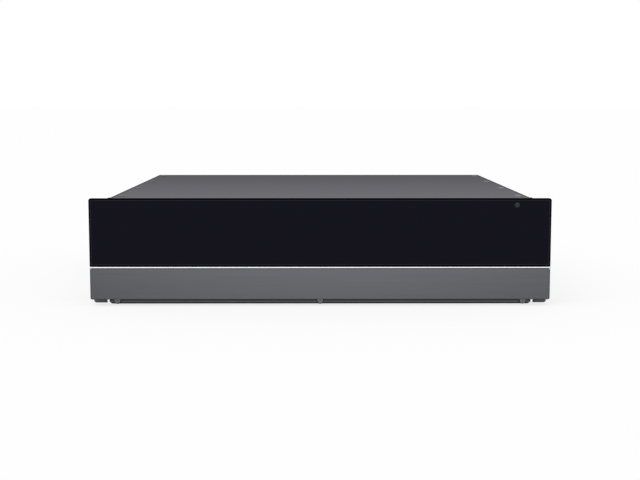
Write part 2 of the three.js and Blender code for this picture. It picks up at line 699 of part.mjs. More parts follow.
function terminalBox() {
  const x0 = GLAND_X - TERMINAL_WIDTH / 2;
  const y1 = TERMINAL_BACK;
  const box = { x0, x1: x0 + TERMINAL_WIDTH, y0: y1 - TERMINAL_DEPTH, y1, corner: 3 };
  const shell = solid(panGeometry(box, BASE_FLOOR + GAP, BASE_FLOOR + TERMINAL_HEIGHT, TERMINAL_WALL, 2.2));
  const middle = { x: GLAND_X, y: (box.y0 + box.y1) / 2 };
  const across = TERMINAL_BLOCK_WIDTH / 2;
  const along = TERMINAL_BLOCK_DEPTH / 2;
  const block = extrude(
    rectangle(middle.x - across, middle.y - along, middle.x + across, middle.y + along),
    "z",
    BASE_FLOOR + TERMINAL_WALL / 2 + GAP,
    BASE_FLOOR + TERMINAL_HEIGHT - 4,
  );
  const wells = row(TERMINALS, TERMINAL_PITCH, (x) =>
    extrude(
      disc(middle.x + x, middle.y, TERMINAL_WELL, 8),
      "z",
      BASE_FLOOR + TERMINAL_HEIGHT / 2,
      BASE_FLOOR + TERMINAL_HEIGHT,
    ),
  );
  const entry = extrude(
    disc(middle.x, BASE_FLOOR + TERMINAL_HEIGHT / 2 + 1, 4, 12),
    "y",
    y1 - 2 * TERMINAL_WALL,
    y1 + TERMINAL_WALL,
  );
  return cut(join(shell, block), wells, entry);
}

function terminalCover() {
  const x0 = GLAND_X - TERMINAL_WIDTH / 2;
  const y1 = TERMINAL_BACK;
  const z = BASE_FLOOR + TERMINAL_HEIGHT + GAP;
  const y0 = y1 - TERMINAL_DEPTH;
  const plate = extrude(roundedRectangle(x0, y0, x0 + TERMINAL_WIDTH, y1, 3), "z", z, z + 1.6);
  const inset = TERMINAL_WALL + GAP;
  const plug = extrude(
    roundedRectangle(x0 + inset, y0 + inset, x0 + TERMINAL_WIDTH - inset, y1 - inset, 1),
    "z",
    z - 1.6,
    z + 0.5,
  );
  return join(plate, plug);
}

// The gland that the mains lead comes in through: a collar inside, a neck and a domed nut outside.
function cableGland() {
  const inside = BACK_IN - GAP;
  const outside = HOUSING_DEPTH + GAP;
  const end = HOUSING_DEPTH + GLAND_REACH;
  const profile = [
    [GLAND_BORE, inside - 2.6],
    [GLAND_FLANGE, inside - 2.6],
    [GLAND_FLANGE, inside],
    [GLAND_RADIUS, inside],
    [GLAND_RADIUS, outside],
    [GLAND_FLANGE, outside],
    [GLAND_FLANGE, end - 2],
    [GLAND_FLANGE - 3, end],
    [GLAND_BORE, end],
    [GLAND_BORE, inside - 2.6],
  ];
  return turned(profile, "y", [GLAND_X, 0, GLAND_Z], 14);
}

// ---------------------------------------------------------------------------------------------
// Push latch
// ---------------------------------------------------------------------------------------------

function latchBody() {
  const half = LATCH_WIDTH / 2;
  const low = BASE_FLOOR + GAP;
  const block = extrude(
    roundedRectangle(-half, low, half, low + LATCH_HEIGHT, 2.5),
    "y",
    LATCH_MOUTH,
    LATCH_BACK,
  );
  const ears = row(2, LATCH_LENGTH * 0.6, (y) =>
    extrude(
      slot(0, (LATCH_MOUTH + LATCH_BACK) / 2 + y, LATCH_WIDTH + 18, 8),
      "z",
      low,
      low + 2,
    ),
  );
  const bore = turned(
    [
      [0, LATCH_MOUTH - 1],
      [PLUNGER_RADIUS + GAP, LATCH_MOUTH - 1],
      [PLUNGER_RADIUS + GAP, LATCH_BACK - 4],
      [0, LATCH_BACK - 4],
    ],
    "y",
    [0, 0, LATCH_Z],
    14,
  );
  return cut(join(block, ears), bore);
}

function latchPlunger() {
  const tip = LATCH_MOUTH - PLUNGER_REACH;
  const profile = [
    [0, tip],
    [PLUNGER_HEAD - 1, tip],
    [PLUNGER_HEAD, tip + 1],
    [PLUNGER_HEAD, tip + PLUNGER_HEAD_LENGTH],
    [PLUNGER_RADIUS, tip + PLUNGER_HEAD_LENGTH + 1],
    [PLUNGER_RADIUS, LATCH_BACK - 4 - PLUNGER_STROKE - GAP],
    [0, LATCH_BACK - 4 - PLUNGER_STROKE - GAP],
  ];
  return turned(profile, "y", [0, 0, LATCH_Z], 14);
}

// A cup that the plunger's head lies in, under a tab fastened to the heater compartment.
function latchStriker() {
  const bottom = LATCH_MOUTH - PLUNGER_REACH - STRIKER_PLAY;
  const outer = STRIKER_BORE + STRIKER_WALL;
  const cup = turned(
    [
      [0, bottom - STRIKER_WALL],
      [outer - 1, bottom - STRIKER_WALL],
      [outer, bottom - STRIKER_WALL + 1],
      [outer, bottom + STRIKER_DEPTH],
      [STRIKER_BORE, bottom + STRIKER_DEPTH],
      [STRIKER_BORE, bottom],
      [0, bottom],
    ],
    "y",
    [0, 0, LATCH_Z],
    20,
  );
  const top = FLOOR_Z - GAP;
  const line = [
    [bottom + STRIKER_DEPTH + 10, top - STRIKER_WALL / 2],
    [bottom - STRIKER_WALL / 2, top - STRIKER_WALL / 2],
    [bottom - STRIKER_WALL / 2, LATCH_Z],
  ];
  const tab = extrude(ribbon(bent(line, BEND), STRIKER_WALL), "x", -outer, outer);
  return join(cup, tab);
}

// ---------------------------------------------------------------------------------------------
// Runners. Sections are drawn for the right side, on the distance from the mounting face and the
// height from the runner's middle, and turned into x and z.
// ---------------------------------------------------------------------------------------------

const RACE = BALL_RADIUS + GAP + RUNNER_SHEET / 2; // from a ball's centre to a member's middle line
const OUTER_FLANGE = RUNNER_HEIGHT / 2 - RUNNER_SHEET / 2;
const OUTER_BALL = OUTER_FLANGE - RACE;
const MIDDLE_FLANGE = OUTER_BALL - RACE;
const INNER_BALL = MIDDLE_FLANGE - RACE;
const INNER_FLANGE = INNER_BALL - RACE;
const LIP_ANGLE = 10; // the lip of a race ends this far above the balls' middle
const CUP_ANGLE = 215; // and a cup under the balls reaches round to here
const CUP_LEAN = THREE.MathUtils.degToRad(CUP_ANGLE);
const OUTER_ROW = MIDDLE_WEB + HUMP_BEND - (RACE + HUMP_BEND) * Math.cos(CUP_LEAN);

// The upper half of a section, mirrored below, as a sheet of the runner's length.
function member(upper, sheet, length, front) {
  const lower = upper.map((point) => new THREE.Vector2(point.x, -point.y)).reverse();
  const line = [...upper, ...lower].map((p) => new THREE.Vector2(RUNNER_FACE - p.x, RUNNER_Z + p.y));
  return extrude(ribbon(line, sheet), "y", front, front + length);
}

// Slots through a member's web, evenly spread along it.
function webSlots(count, height) {
  const pitch = RUNNER_LENGTH / count;
  return row(count, pitch, (y) =>
    extrude(
      slot(RUNNER_FRONT + RUNNER_LENGTH / 2 + y, RUNNER_Z, height * 1.6, height),
      "x",
      RUNNER_FACE - RUNNER_THICKNESS - SHEET,
      RUNNER_FACE + SHEET,
    ),
  );
}

function outerMember() {
  const web = RUNNER_SHEET / 2;
  const race = arc(OUTER_ROW, OUTER_BALL, RACE, LIP_ANGLE, 90, 3);
  const fold = bent([[OUTER_ROW, OUTER_FLANGE], [web, OUTER_FLANGE], [web, 0]], RUNNER_BEND);
  const upper = [...race, ...fold.slice(1, -1)];
  return cut(member(upper, RUNNER_SHEET, RUNNER_LENGTH, RUNNER_FRONT), webSlots(3, 5));
}

function middleMember() {
  const overInner = arc(INNER_ROW, INNER_BALL, RACE, LIP_ANGLE, 90, 3);
  const underOuter = arc(OUTER_ROW, OUTER_BALL, RACE, 270, CUP_ANGLE, 3);
  const rim = underOuter.at(-1);
  const hubX = rim.x + HUMP_BEND * Math.cos(CUP_LEAN);
  const hubY = rim.y + HUMP_BEND * Math.sin(CUP_LEAN);
  const hump = arc(hubX, hubY, HUMP_BEND, CUP_ANGLE - 180, 180, 3).slice(1);
  const upper = [...overInner, ...underOuter, ...hump];
  return cut(member(upper, RUNNER_SHEET, RUNNER_LENGTH, RUNNER_FRONT), webSlots(2, 8));
}

function innerMember() {
  const web = RUNNER_THICKNESS - RUNNER_SHEET / 2;
  const cup = arc(INNER_ROW, INNER_BALL, RACE, CUP_ANGLE, 270, 3);
  const fold = bent([[INNER_ROW, INNER_FLANGE], [web, INNER_FLANGE], [web, 0]], HUMP_BEND);
  const upper = [...cup, ...fold.slice(1, -1)];
  return cut(member(upper, RUNNER_SHEET, RUNNER_LENGTH, RUNNER_FRONT), webSlots(3, 5));
}

// A cage: a folded strip with two rows of balls pressed into it.
function ballCage(web, ballRow, ballHeight) {
  const front = RUNNER_FRONT + (RUNNER_LENGTH - CAGE_LENGTH) / 2;
  const end = ballRow + BALL_RADIUS * 0.6;
  const upper = bent([[end, ballHeight], [web, ballHeight], [web, 0]], HUMP_BEND).slice(0, -1);
  const strip = member(upper, CAGE_SHEET, CAGE_LENGTH, front);
  const pitch = CAGE_LENGTH / CAGE_BALLS;
  const balls = [-1, 1].flatMap((side) =>
    row(CAGE_BALLS, pitch, (y) => {
      const ball = new THREE.IcosahedronGeometry(BALL_RADIUS);
      ball.translate(RUNNER_FACE - ballRow, front + CAGE_LENGTH / 2 + y, RUNNER_Z + side * ballHeight);
      return solid(ball);
    }),
  );
  return join(strip, balls);
}

const outerCage = () => ballCage(RUNNER_SHEET + 0.35 + CAGE_SHEET / 2, OUTER_ROW, OUTER_BALL);
const innerCage = () =>
  ballCage(MIDDLE_WEB + RUNNER_SHEET / 2 + 0.35 + CAGE_SHEET / 2, INNER_ROW, INNER_BALL);

// ---------------------------------------------------------------------------------------------
// Drawer front
// ---------------------------------------------------------------------------------------------

function frontGlass() {
  const shape = outline([
    new THREE.Vector2(-FRONT_HALF, GLASS_BOTTOM),
    new THREE.Vector2(FRONT_HALF, GLASS_BOTTOM),
    ...arc(FRONT_HALF - GLASS_CORNER, FRONT_TOP - GLASS_CORNER, GLASS_CORNER, 0, 90),
    ...arc(GLASS_CORNER - FRONT_HALF, FRONT_TOP - GLASS_CORNER, GLASS_CORNER, 90, 180),
  ]);
  const pane = extrude(shape, "y", GLASS_FRONT, GLASS_FRONT + GLASS);
  const eye = extrude(disc(LAMP_X, LAMP_Z, LAMP_RADIUS + GAP), "y", GLASS_FRONT - 1, CARRIER_FRONT);
  return cut(pane, eye);
}

function frontTrimStrip() {
  const face = GLASS_FRONT - TRIM_PROUD;
  const profile = roundedRectangle(
    face,
    TRIM_BOTTOM,
    CARRIER_FRONT - GAP,
    TRIM_BOTTOM + TRIM_HEIGHT,
    TRIM_HEIGHT / 4,
  );
  return extrude(profile, "x", -FRONT_HALF - TRIM_OVERHANG, FRONT_HALF + TRIM_OVERHANG);
}

function frontLowerPanel() {
  const box = {
    x0: -FRONT_HALF,
    x1: FRONT_HALF,
    z0: FRONT_BOTTOM,
    z1: LOWER_TOP,
    corner: LOWER_CORNER,
  };
  const panel = uprightPan(box, GLASS_FRONT, GLASS_FRONT + LOWER_RETURN, SHEET, 1.4);
  const above = rectangle(-FRONT_HALF - 1, LOWER_TOP - 2 * SHEET, FRONT_HALF + 1, LOWER_TOP + 1);
  return cut(panel, extrude(above, "y", CARRIER_FRONT - GAP, CARRIER_FRONT + LOWER_RETURN));
}

function frontCarrier() {
  const side = FRONT_HALF - SHEET - GAP;
  const z0 = FRONT_BOTTOM + SHEET + GAP;
  const box = { x0: -side, x1: side, z0, z1: FRONT_TOP - CARRIER_EDGE, corner: 3 };
  const carrier = uprightPan(box, CARRIER_FRONT, CARRIER_BACK + SHEET, SHEET, 1.6);
  const eye = extrude(disc(LAMP_X, LAMP_Z, LAMP_RADIUS + GAP), "y", CARRIER_FRONT - 1, CARRIER_FRONT + 2);
  const half = CARRIER_WINDOW / 2;
  const middle = (z0 + box.z1) / 2;
  const windows = row(CARRIER_WINDOWS, CARRIER_WINDOW_PITCH, (x) =>
    extrude(
      roundedRectangle(x - half, middle - half, x + half, middle + half, 8),
      "y",
      CARRIER_FRONT - 1,
      CARRIER_FRONT + 2 * SHEET,
    ),
  );
  return cut(carrier, eye, windows);
}

function innerFrontPanel() {
  const half = FRONT_HALF - 2 * SHEET - 2 * GAP;
  const z0 = FRONT_BOTTOM + 2 * SHEET + 2 * GAP;
  const z1 = FRONT_TOP - CARRIER_EDGE - SHEET - GAP;
  const box = { x0: -half, x1: half, z0, z1, corner: 2.5 };
  return uprightPan(box, FRONT_BACK, FRONT_BACK - INNER_RETURN, INNER_SHEET, 1.4);
}

function indicatorLens() {
  const profile = [
    [0, GLASS_FRONT],
    [LAMP_RADIUS - 0.5, GLASS_FRONT],
    [LAMP_RADIUS, GLASS_FRONT + 0.5],
    [LAMP_RADIUS, CARRIER_FRONT + SHEET],
    [0, CARRIER_FRONT + SHEET],
  ];
  return turned(profile, "y", [LAMP_X, 0, LAMP_Z], 20);
}

function indicatorLampBody() {
  const seat = CARRIER_FRONT + SHEET + GAP;
  const end = FRONT_BACK - INNER_SHEET - GAP;
  const profile = [
    [0, seat],
    [LAMP_BODY, seat],
    [LAMP_BODY, seat + 1.4],
    [LAMP_BODY - 1.2, seat + 2],
    [LAMP_BODY - 1.2, end],
    [0, end],
  ];
  return turned(profile, "y", [LAMP_X, 0, LAMP_Z], 16);
}

// A folded bracket from the inner front panel to the basin's front skirt.
function frontBracket() {
  const front = FRONT_BACK + GAP + BRACKET_SHEET / 2;
  const back = SKIRT_FRONT - GAP - BRACKET_SHEET / 2;
  const plan = [
    [BRACKET_X - BRACKET_FOOT, front],
    [BRACKET_X, front],
    [BRACKET_X, back],
    [BRACKET_X + BRACKET_FOOT, back],
  ];
  const folded = ribbon(bent(plan, BEND), BRACKET_SHEET);
  const bracket = extrude(folded, "z", BRACKET_Z, BRACKET_Z + BRACKET_HEIGHT);
  const slots = row(2, BRACKET_HEIGHT * 0.6, (z) =>
    extrude(
      slot(BRACKET_X - BRACKET_FOOT / 2, BRACKET_Z + BRACKET_HEIGHT / 2 + z, 9, 4.5),
      "y",
      FRONT_BACK,
      FRONT_BACK + 3,
    ),
  );
  return cut(bracket, slots);
}

// ---------------------------------------------------------------------------------------------
// Basin
// ---------------------------------------------------------------------------------------------

// One skin: up the outside of the tray, along under the rim, round the skirt, back over the rim
// and down the inside of the tray.
function drawerBasin() {
  const tray = { x0: -TRAY_HALF, x1: TRAY_HALF, y0: TRAY_FRONT, y1: TRAY_BACK, corner: TRAY_CORNER };
  const skirt = {
    x0: -SKIRT_HALF,
    x1: SKIRT_HALF,
    y0: SKIRT_FRONT,
    y1: SKIRT_BACK,
    corner: SKIRT_CORNER,
  };
  const outerBend = TRAY_BEND + SHEET;
  const under = FLOOR_Z - SHEET;
  const skin = loft([
    ...quarter().map(([s, c]) => ring(tray, outerBend * (1 - s) - SHEET, under + outerBend * (1 - c))),
    ...quarter(2).map(([s, c]) =>
      ring(tray, -SHEET - (RIM_BEND - SHEET) * (1 - c), RIM_Z - RIM_BEND + (RIM_BEND - SHEET) * s),
    ),
    ...quarter(2).map(([s, c]) =>
      ring(skirt, SKIRT_BEND - (SKIRT_BEND - SHEET) * s, RIM_Z - SKIRT_BEND + (SKIRT_BEND - SHEET) * c),
    ),
    ring(skirt, SHEET, SKIRT_BOTTOM),
    ring(skirt, 0, SKIRT_BOTTOM),
    ...quarter(2)
      .reverse()
      .map(([s, c]) => ring(skirt, SKIRT_BEND * (1 - s), RIM_Z - SKIRT_BEND * (1 - c))),
    ...quarter(2)
      .reverse()
      .map(([s, c]) => ring(tray, -RIM_BEND * (1 - c), RIM_Z - RIM_BEND * (1 - s))),
    ...quarter()
      .reverse()
      .map(([s, c]) => ring(tray, TRAY_BEND * (1 - s), FLOOR_Z + TRAY_BEND * (1 - c))),
  ]);
  const airWay = extrude(collarShape(GAP), "y", TRAY_BACK - SHEET, SKIRT_BACK + SHEET);
  const belowRim = RIM_UNDER - SHEET;
  const spindleHole = extrude(disc(KNOB_X, CONTROL_Y, SPINDLE_RADIUS + 1.2), "z", belowRim, RIM_Z + 1);
  const switchHole = extrude(frameNeck(GAP), "z", belowRim, RIM_Z + 1);
  return cut(solid(skin), airWay, spindleHole, switchHole);
}

function antiSlipMat() {
  const margin = TRAY_BEND + MAT_MARGIN;
  const shape = roundedRectangle(
    margin - TRAY_HALF,
    TRAY_FRONT + margin,
    TRAY_HALF - margin,
    TRAY_BACK - margin,
    TRAY_CORNER - MAT_MARGIN,
    4,
  );
  return extrude(shape, "z", FLOOR_Z + GAP, FLOOR_Z + GAP + MAT);
}

// ---------------------------------------------------------------------------------------------
// Heater compartment
// ---------------------------------------------------------------------------------------------

// The outline of the air way through the basin's back, wider by an allowance.
function collarShape(allowance) {
  const half = GRILLE_WIDTH / 2 - GRILLE_MARGIN + allowance;
  const low = GRILLE_BOTTOM + GRILLE_MARGIN - allowance;
  const high = GRILLE_TOP - GRILLE_MARGIN + allowance;
  return roundedRectangle(-half, low, half, high, 4 + allowance, 2);
}

// A slotted plate on the tray's back wall, with a collar that leads the air through it.
function heaterGrille() {
  const back = TRAY_BACK - GAP;
  const plate = extrude(
    roundedRectangle(-GRILLE_WIDTH / 2, GRILLE_BOTTOM, GRILLE_WIDTH / 2, GRILLE_TOP, 5),
    "y",
    back - SHEET,
    back,
  );
  const collar = extrude(collarShape(0), "y", back - SHEET / 2, SKIRT_BACK);
  const hollow = extrude(collarShape(-SHEET), "y", back, SKIRT_BACK + SHEET);
  const middle = (GRILLE_BOTTOM + GRILLE_TOP) / 2;
  const slotLength = GRILLE_TOP - GRILLE_BOTTOM - 2 * (GRILLE_MARGIN + GRILLE_LAND);
  const pitch = (GRILLE_WIDTH - 6 * GRILLE_MARGIN) / GRILLE_SLOTS;
  const slots = row(GRILLE_SLOTS, pitch, (x) =>
    extrude(slot(x, middle, GRILLE_SLOT_WIDTH, slotLength), "y", back - 2 * SHEET, back + SHEET),
  );
  return cut(join(plate, collar), hollow, slots);
}

// The compartment's cover: a channel with its flanges on the basin's back, and two ends.
function heaterCover() {
  const half = COMPARTMENT_HALF;
  const front = COMPARTMENT_FRONT + SHEET / 2;
  const back = COMPARTMENT_BACK - SHEET / 2;
  const top = RIM_Z - SHEET / 2;
  const low = FLOOR_Z + SHEET / 2;
  const profile = [
    [front, top - COMPARTMENT_FLANGE],
    [front, top],
    [back, top],
    [back, low],
    [front, low],
    [front, SKIRT_BOTTOM + COMPARTMENT_LAP],
  ];
  const channel = extrude(ribbon(bent(profile, BEND), SHEET), "x", -half, half);
  const ends = [-half, half - SHEET].map((x) =>
    extrude(
      roundedRectangle(COMPARTMENT_FRONT, FLOOR_Z, COMPARTMENT_BACK, RIM_Z, BEND + SHEET / 2),
      "x",
      x,
      x + SHEET,
    ),
  );
  const vents = row(COMPARTMENT_VENTS, VENT_PITCH, (x) =>
    extrude(
      slot(x, FLOOR_Z + COMPARTMENT_VENT_RISE, VENT_WIDTH, VENT_LENGTH),
      "y",
      COMPARTMENT_BACK - 2 * SHEET,
      COMPARTMENT_BACK + SHEET,
    ),
  );
  return cut(join(channel, ends), vents);
}

const ELEMENT_Y = SKIRT_BACK + ELEMENT_OFFSET + ELEMENT_TUBE;
const ELEMENT_MIDDLE = (GRILLE_BOTTOM + GRILLE_TOP) / 2;

// An even number of passes, spread over the height of the air way.
function elementHeights() {
  const spread = GRILLE_TOP - GRILLE_BOTTOM - 2 * (GRILLE_MARGIN + ELEMENT_EDGE);
  const passes = 2 * Math.max(1, Math.round((spread / ELEMENT_PITCH + 1) / 2));
  return row(passes, spread / (passes - 1), (z) => ELEMENT_MIDDLE + z);
}

// A tubular element folded to and fro across the air way, with both ends on the right.
function heatingElement() {
  const half = GRILLE_WIDTH / 2 + ELEMENT_OVERHANG - ELEMENT_TUBE;
  const corners = [[half + ELEMENT_TAIL, elementHeights()[0]]];
  elementHeights().forEach((z, i, all) => {
    if (i === all.length - 1) return;
    const side = i % 2 === 0 ? -half : half;
    corners.push([side, z], [side, all[i + 1]]);
  });
  corners.push([half + ELEMENT_TAIL, elementHeights().at(-1)]);
  const pitch = elementHeights()[1] - elementHeights()[0];
  return tube(bent(corners, pitch / 2 - 0.05, 3), ELEMENT_Y, ELEMENT_TUBE);
}

// A clip that stands on the basin's back and lets the element's passes through.
function elementClip(x) {
  const low = elementHeights()[0] - ELEMENT_TUBE - CLIP_MARGIN;
  const high = elementHeights().at(-1) + ELEMENT_TUBE + CLIP_MARGIN;
  const plan = [
    [x + Math.sign(x) * CLIP_FOOT, COMPARTMENT_FRONT + CLIP_SHEET / 2],
    [x, COMPARTMENT_FRONT + CLIP_SHEET / 2],
    [x, ELEMENT_Y + ELEMENT_TUBE + CLIP_MARGIN],
  ];
  const clip = extrude(ribbon(bent(plan, BEND), CLIP_SHEET), "z", low, high);
  const holes = elementHeights().map((z) =>
    extrude(disc(ELEMENT_Y, z, ELEMENT_TUBE + 2 * GAP, 8), "x", x - CLIP_SHEET, x + CLIP_SHEET),
  );
  return cut(clip, holes);
}

// A bimetal thermostat with two blades, on the basin's back.
function safetyThermostat() {
  const seat = COMPARTMENT_FRONT;
  const profile = [
    [0, seat],
    [SAFETY_RADIUS + 3, seat],
    [SAFETY_RADIUS + 3, seat + 1],
    [SAFETY_RADIUS, seat + 1],
    [SAFETY_RADIUS, seat + SAFETY_HEIGHT - 1],
    [SAFETY_RADIUS - 1, seat + SAFETY_HEIGHT],
    [0, seat + SAFETY_HEIGHT],
  ];
  const can = turned(profile, "y", [SAFETY_X, 0, ELEMENT_MIDDLE], 14);
  const blades = row(2, 7, (x) =>
    extrude(
      rectangle(SAFETY_X + x - 0.4, ELEMENT_MIDDLE - 3.1, SAFETY_X + x + 0.4, ELEMENT_MIDDLE + 3.1),
      "y",
      seat + SAFETY_HEIGHT - 1,
      seat + SAFETY_HEIGHT + 8,
    ),
  );
  return join(can, blades);
}

// ---------------------------------------------------------------------------------------------
// Blower
// ---------------------------------------------------------------------------------------------

const WHEEL_HALF = GRILLE_WIDTH / 2 - WHEEL_INSET;
const SCROLL_HALF = WHEEL_HALF + SCROLL_END_GAP + SCROLL_SHEET;
const SCROLL_FRONT = ELEMENT_Y + ELEMENT_TUBE + 2.5;
const MOTOR_X = SCROLL_HALF + MOTOR_OFFSET;
const MOTOR_FAR = MOTOR_X + STACK;

// The drum of forward-curved blades between two discs.
function blowerWheel() {
  const reach = WHEEL_RADIUS - BLADE_THICKNESS / 2;
  const blade = (turn) => {
    const bow = arc(reach - BLADE_CHORD / 2, -BLADE_CHORD * 0.45, BLADE_CHORD * 0.62, ...BLADE_BOW, 2);
    const line = bow.map((p) => p.rotateAround(new THREE.Vector2(0, 0), turn));
    const placed = line.map((p) => new THREE.Vector2(WHEEL_Y + p.x, WHEEL_Z + p.y));
    const end = WHEEL_HALF - WHEEL_DISC / 2;
    return extrude(ribbon(placed, BLADE_THICKNESS), "x", -end, end);
  };
  const blades = Array.from({ length: BLADES }, (_, i) => blade((2 * Math.PI * i) / BLADES));
  const discs = [-WHEEL_HALF, WHEEL_HALF - WHEEL_DISC].map((x) => {
    const plate = disc(WHEEL_Y, WHEEL_Z, WHEEL_RADIUS, 24);
    return extrude(plate, "x", x, x + WHEEL_DISC);
  });
  const hubs = [-WHEEL_HALF, WHEEL_HALF - 8].map((x) =>
    extrude(disc(WHEEL_Y, WHEEL_Z, SHAFT_RADIUS + 3), "x", x, x + 8),
  );
  const bore = extrude(disc(WHEEL_Y, WHEEL_Z, SHAFT_RADIUS + GAP, 12), "x", -WHEEL_HALF - 1, WHEEL_HALF + 1);
  return cut(join(discs, blades, hubs), bore);
}

function blowerShaft() {
  const from = -SCROLL_HALF - 5;
  const to = MOTOR_FAR + 7;
  return extrude(disc(WHEEL_Y, WHEEL_Z, SHAFT_RADIUS, 12), "x", from, to);
}

// The scroll round the wheel: a spiral wall over the top and a tongue below, which both run forward
// to flanges on the basin's back, above and below the air way, and two end plates.
function blowerScroll() {
  const seat = COMPARTMENT_FRONT + SCROLL_SHEET / 2;
  const wall = WHEEL_RADIUS + SCROLL_SHEET / 2;
  const roof = GRILLE_TOP - GRILLE_MARGIN + SCROLL_SHEET;
  const sill = GRILLE_BOTTOM + GRILLE_MARGIN - SCROLL_SHEET;
  const turnTo = 118;
  const turnFrom = -40;
  const steps = 9;
  const spiral = Array.from({ length: steps + 1 }, (_, i) => {
    const gap = SCROLL_GAP_START + ((SCROLL_GAP_END - SCROLL_GAP_START) * i) / steps;
    const angle = turnFrom + ((turnTo - turnFrom) * i) / steps;
    return arc(WHEEL_Y, WHEEL_Z, wall + gap, angle, angle, 1)[0];
  });
  const highest = RIM_Z - SHEET - COMPARTMENT_FLANGE - SCROLL_SEAM;
  const lowest = SKIRT_BOTTOM + COMPARTMENT_LAP + SCROLL_SEAM;
  const throat = wall + SCROLL_GAP_START;
  const tongue = 180 + THREE.MathUtils.radToDeg(Math.asin((WHEEL_Z - sill) / throat));
  const upper = bent([[seat, highest], [seat, roof], [SCROLL_FRONT, roof]], BEND);
  const tip = arc(WHEEL_Y, WHEEL_Z, throat, tongue, tongue - TONGUE, 2);
  const lower = bent([[seat, lowest], [seat, sill], [SCROLL_FRONT, sill]], BEND);
  const walls = [
    [...upper, ...spiral.reverse()],
    [...lower, ...tip],
  ].map((line) => extrude(ribbon(line, SCROLL_SHEET), "x", -SCROLL_HALF, SCROLL_HALF));
  const reach = WHEEL_RADIUS + SCROLL_GAP_END + SCROLL_SHEET;
  const ends = [-SCROLL_HALF, SCROLL_HALF - SCROLL_SHEET].map((x) =>
    extrude(
      roundedRectangle(SCROLL_FRONT, sill - SCROLL_SHEET, WHEEL_Y + reach - 2, roof + SCROLL_SHEET / 2, 4),
      "x",
      x,
      x + SCROLL_SHEET,
    ),
  );
  const bore = extrude(disc(WHEEL_Y, WHEEL_Z, BUSH_RADIUS + GAP, 14), "x", -SCROLL_HALF - 1, SCROLL_HALF + 1);
  return cut(join(walls, ends), bore);
}

// A sintered bush in a rubber ring, in the scroll's left end.
function blowerBearing() {
  const x = -SCROLL_HALF + SCROLL_SHEET / 2;
  const profile = [
    [SHAFT_RADIUS + GAP, x - 3.5],
    [BUSH_RADIUS + 2, x - 3.5],
    [BUSH_RADIUS + 2, x - SCROLL_SHEET / 2 - GAP],
    [BUSH_RADIUS, x - SCROLL_SHEET / 2 - GAP],
    [BUSH_RADIUS, x + SCROLL_SHEET / 2 + 1],
    [SHAFT_RADIUS + GAP, x + SCROLL_SHEET / 2 + 1],
    [SHAFT_RADIUS + GAP, x - 3.5],
  ];
  return turned(profile, "x", [0, WHEEL_Y, WHEEL_Z], 14);
}

const atPosts = (place) =>
  row(2, STACK_WIDTH - 2 * POST_EDGE, (y) => place(WHEEL_Y + y, WHEEL_Z + POST_RISE));

// The motor's plate on the scroll's right end, with two posts through the lamination stack.
function motorBracket() {
  const x = SCROLL_HALF + GAP;
  const plate = extrude(
    roundedRectangle(
      WHEEL_Y - STACK_WIDTH / 2,
      WHEEL_Z - MOTOR_PLATE_BELOW,
      WHEEL_Y + STACK_WIDTH / 2,
      STACK_TOP,
      5,
    ),
    "x",
    x,
    x + SCROLL_SHEET,
  );
  const posts = atPosts((y, z) => extrude(disc(y, z, POST_RADIUS, 10), "x", x, MOTOR_FAR + POST_END));
  const collars = atPosts((y, z) => extrude(disc(y, z, POST_COLLAR, 10), "x", x, MOTOR_X - GAP));
  const bore = extrude(disc(WHEEL_Y, WHEEL_Z, BUSH_RADIUS), "x", x - SHEET, x + 3 * SHEET);
  return cut(join(plate, posts, collars), bore);
}

// A skeleton stack: the rotor's bore above, the coil's leg below.
function motorStator() {
  const half = STACK_WIDTH / 2;
  const stack = extrude(
    roundedRectangle(WHEEL_Y - half, STACK_BOTTOM, WHEEL_Y + half, STACK_TOP, 3),
    "x",
    MOTOR_X,
    MOTOR_FAR,
  );
  const coilHalf = COIL_WIDTH / 2 + GAP;
  const window = extrude(
    rectangle(
      WHEEL_Y - coilHalf,
      STACK_BOTTOM + COIL_LEG,
      WHEEL_Y + coilHalf,
      STACK_BOTTOM + COIL_LEG + COIL_WALL + 2 * GAP,
    ),
    "x",
    MOTOR_X - 1,
    MOTOR_FAR + 1,
  );
  const bore = extrude(disc(WHEEL_Y, WHEEL_Z, ROTOR_RADIUS + GAP, 20), "x", MOTOR_X - 1, MOTOR_FAR + 1);
  const holes = atPosts((y, z) =>
    extrude(disc(y, z, POST_RADIUS + GAP, 10), "x", MOTOR_X - 1, MOTOR_FAR + 1),
  );
  return cut(stack, window, bore, holes);
}

function motorCoil() {
  const low = STACK_BOTTOM - COIL_WALL - GAP;
  const high = STACK_BOTTOM + COIL_LEG + COIL_WALL + GAP;
  const block = extrude(
    roundedRectangle(MOTOR_X - COIL_WALL - GAP, low, MOTOR_FAR + COIL_WALL + GAP, high, 3),
    "y",
    WHEEL_Y - COIL_WIDTH / 2,
    WHEEL_Y + COIL_WIDTH / 2,
  );
  const leg = extrude(
    rectangle(MOTOR_X - GAP, STACK_BOTTOM - GAP, MOTOR_FAR + GAP, STACK_BOTTOM + COIL_LEG + GAP),
    "y",
    WHEEL_Y - COIL_WIDTH,
    WHEEL_Y + COIL_WIDTH,
  );
  return cut(block, leg);
}

function motorRotor() {
  const profile = [
    [SHAFT_RADIUS + GAP, MOTOR_X - 3],
    [SHAFT_RADIUS + 3, MOTOR_X - 3],
    [ROTOR_RADIUS, MOTOR_X],
    [ROTOR_RADIUS, MOTOR_FAR],
    [SHAFT_RADIUS + 3, MOTOR_FAR + 3],
    [SHAFT_RADIUS + GAP, MOTOR_FAR + 3],
    [SHAFT_RADIUS + GAP, MOTOR_X - 3],
  ];
  return turned(profile, "x", [0, WHEEL_Y, WHEEL_Z], 16);
}

// ---------------------------------------------------------------------------------------------
// Controls
// ---------------------------------------------------------------------------------------------

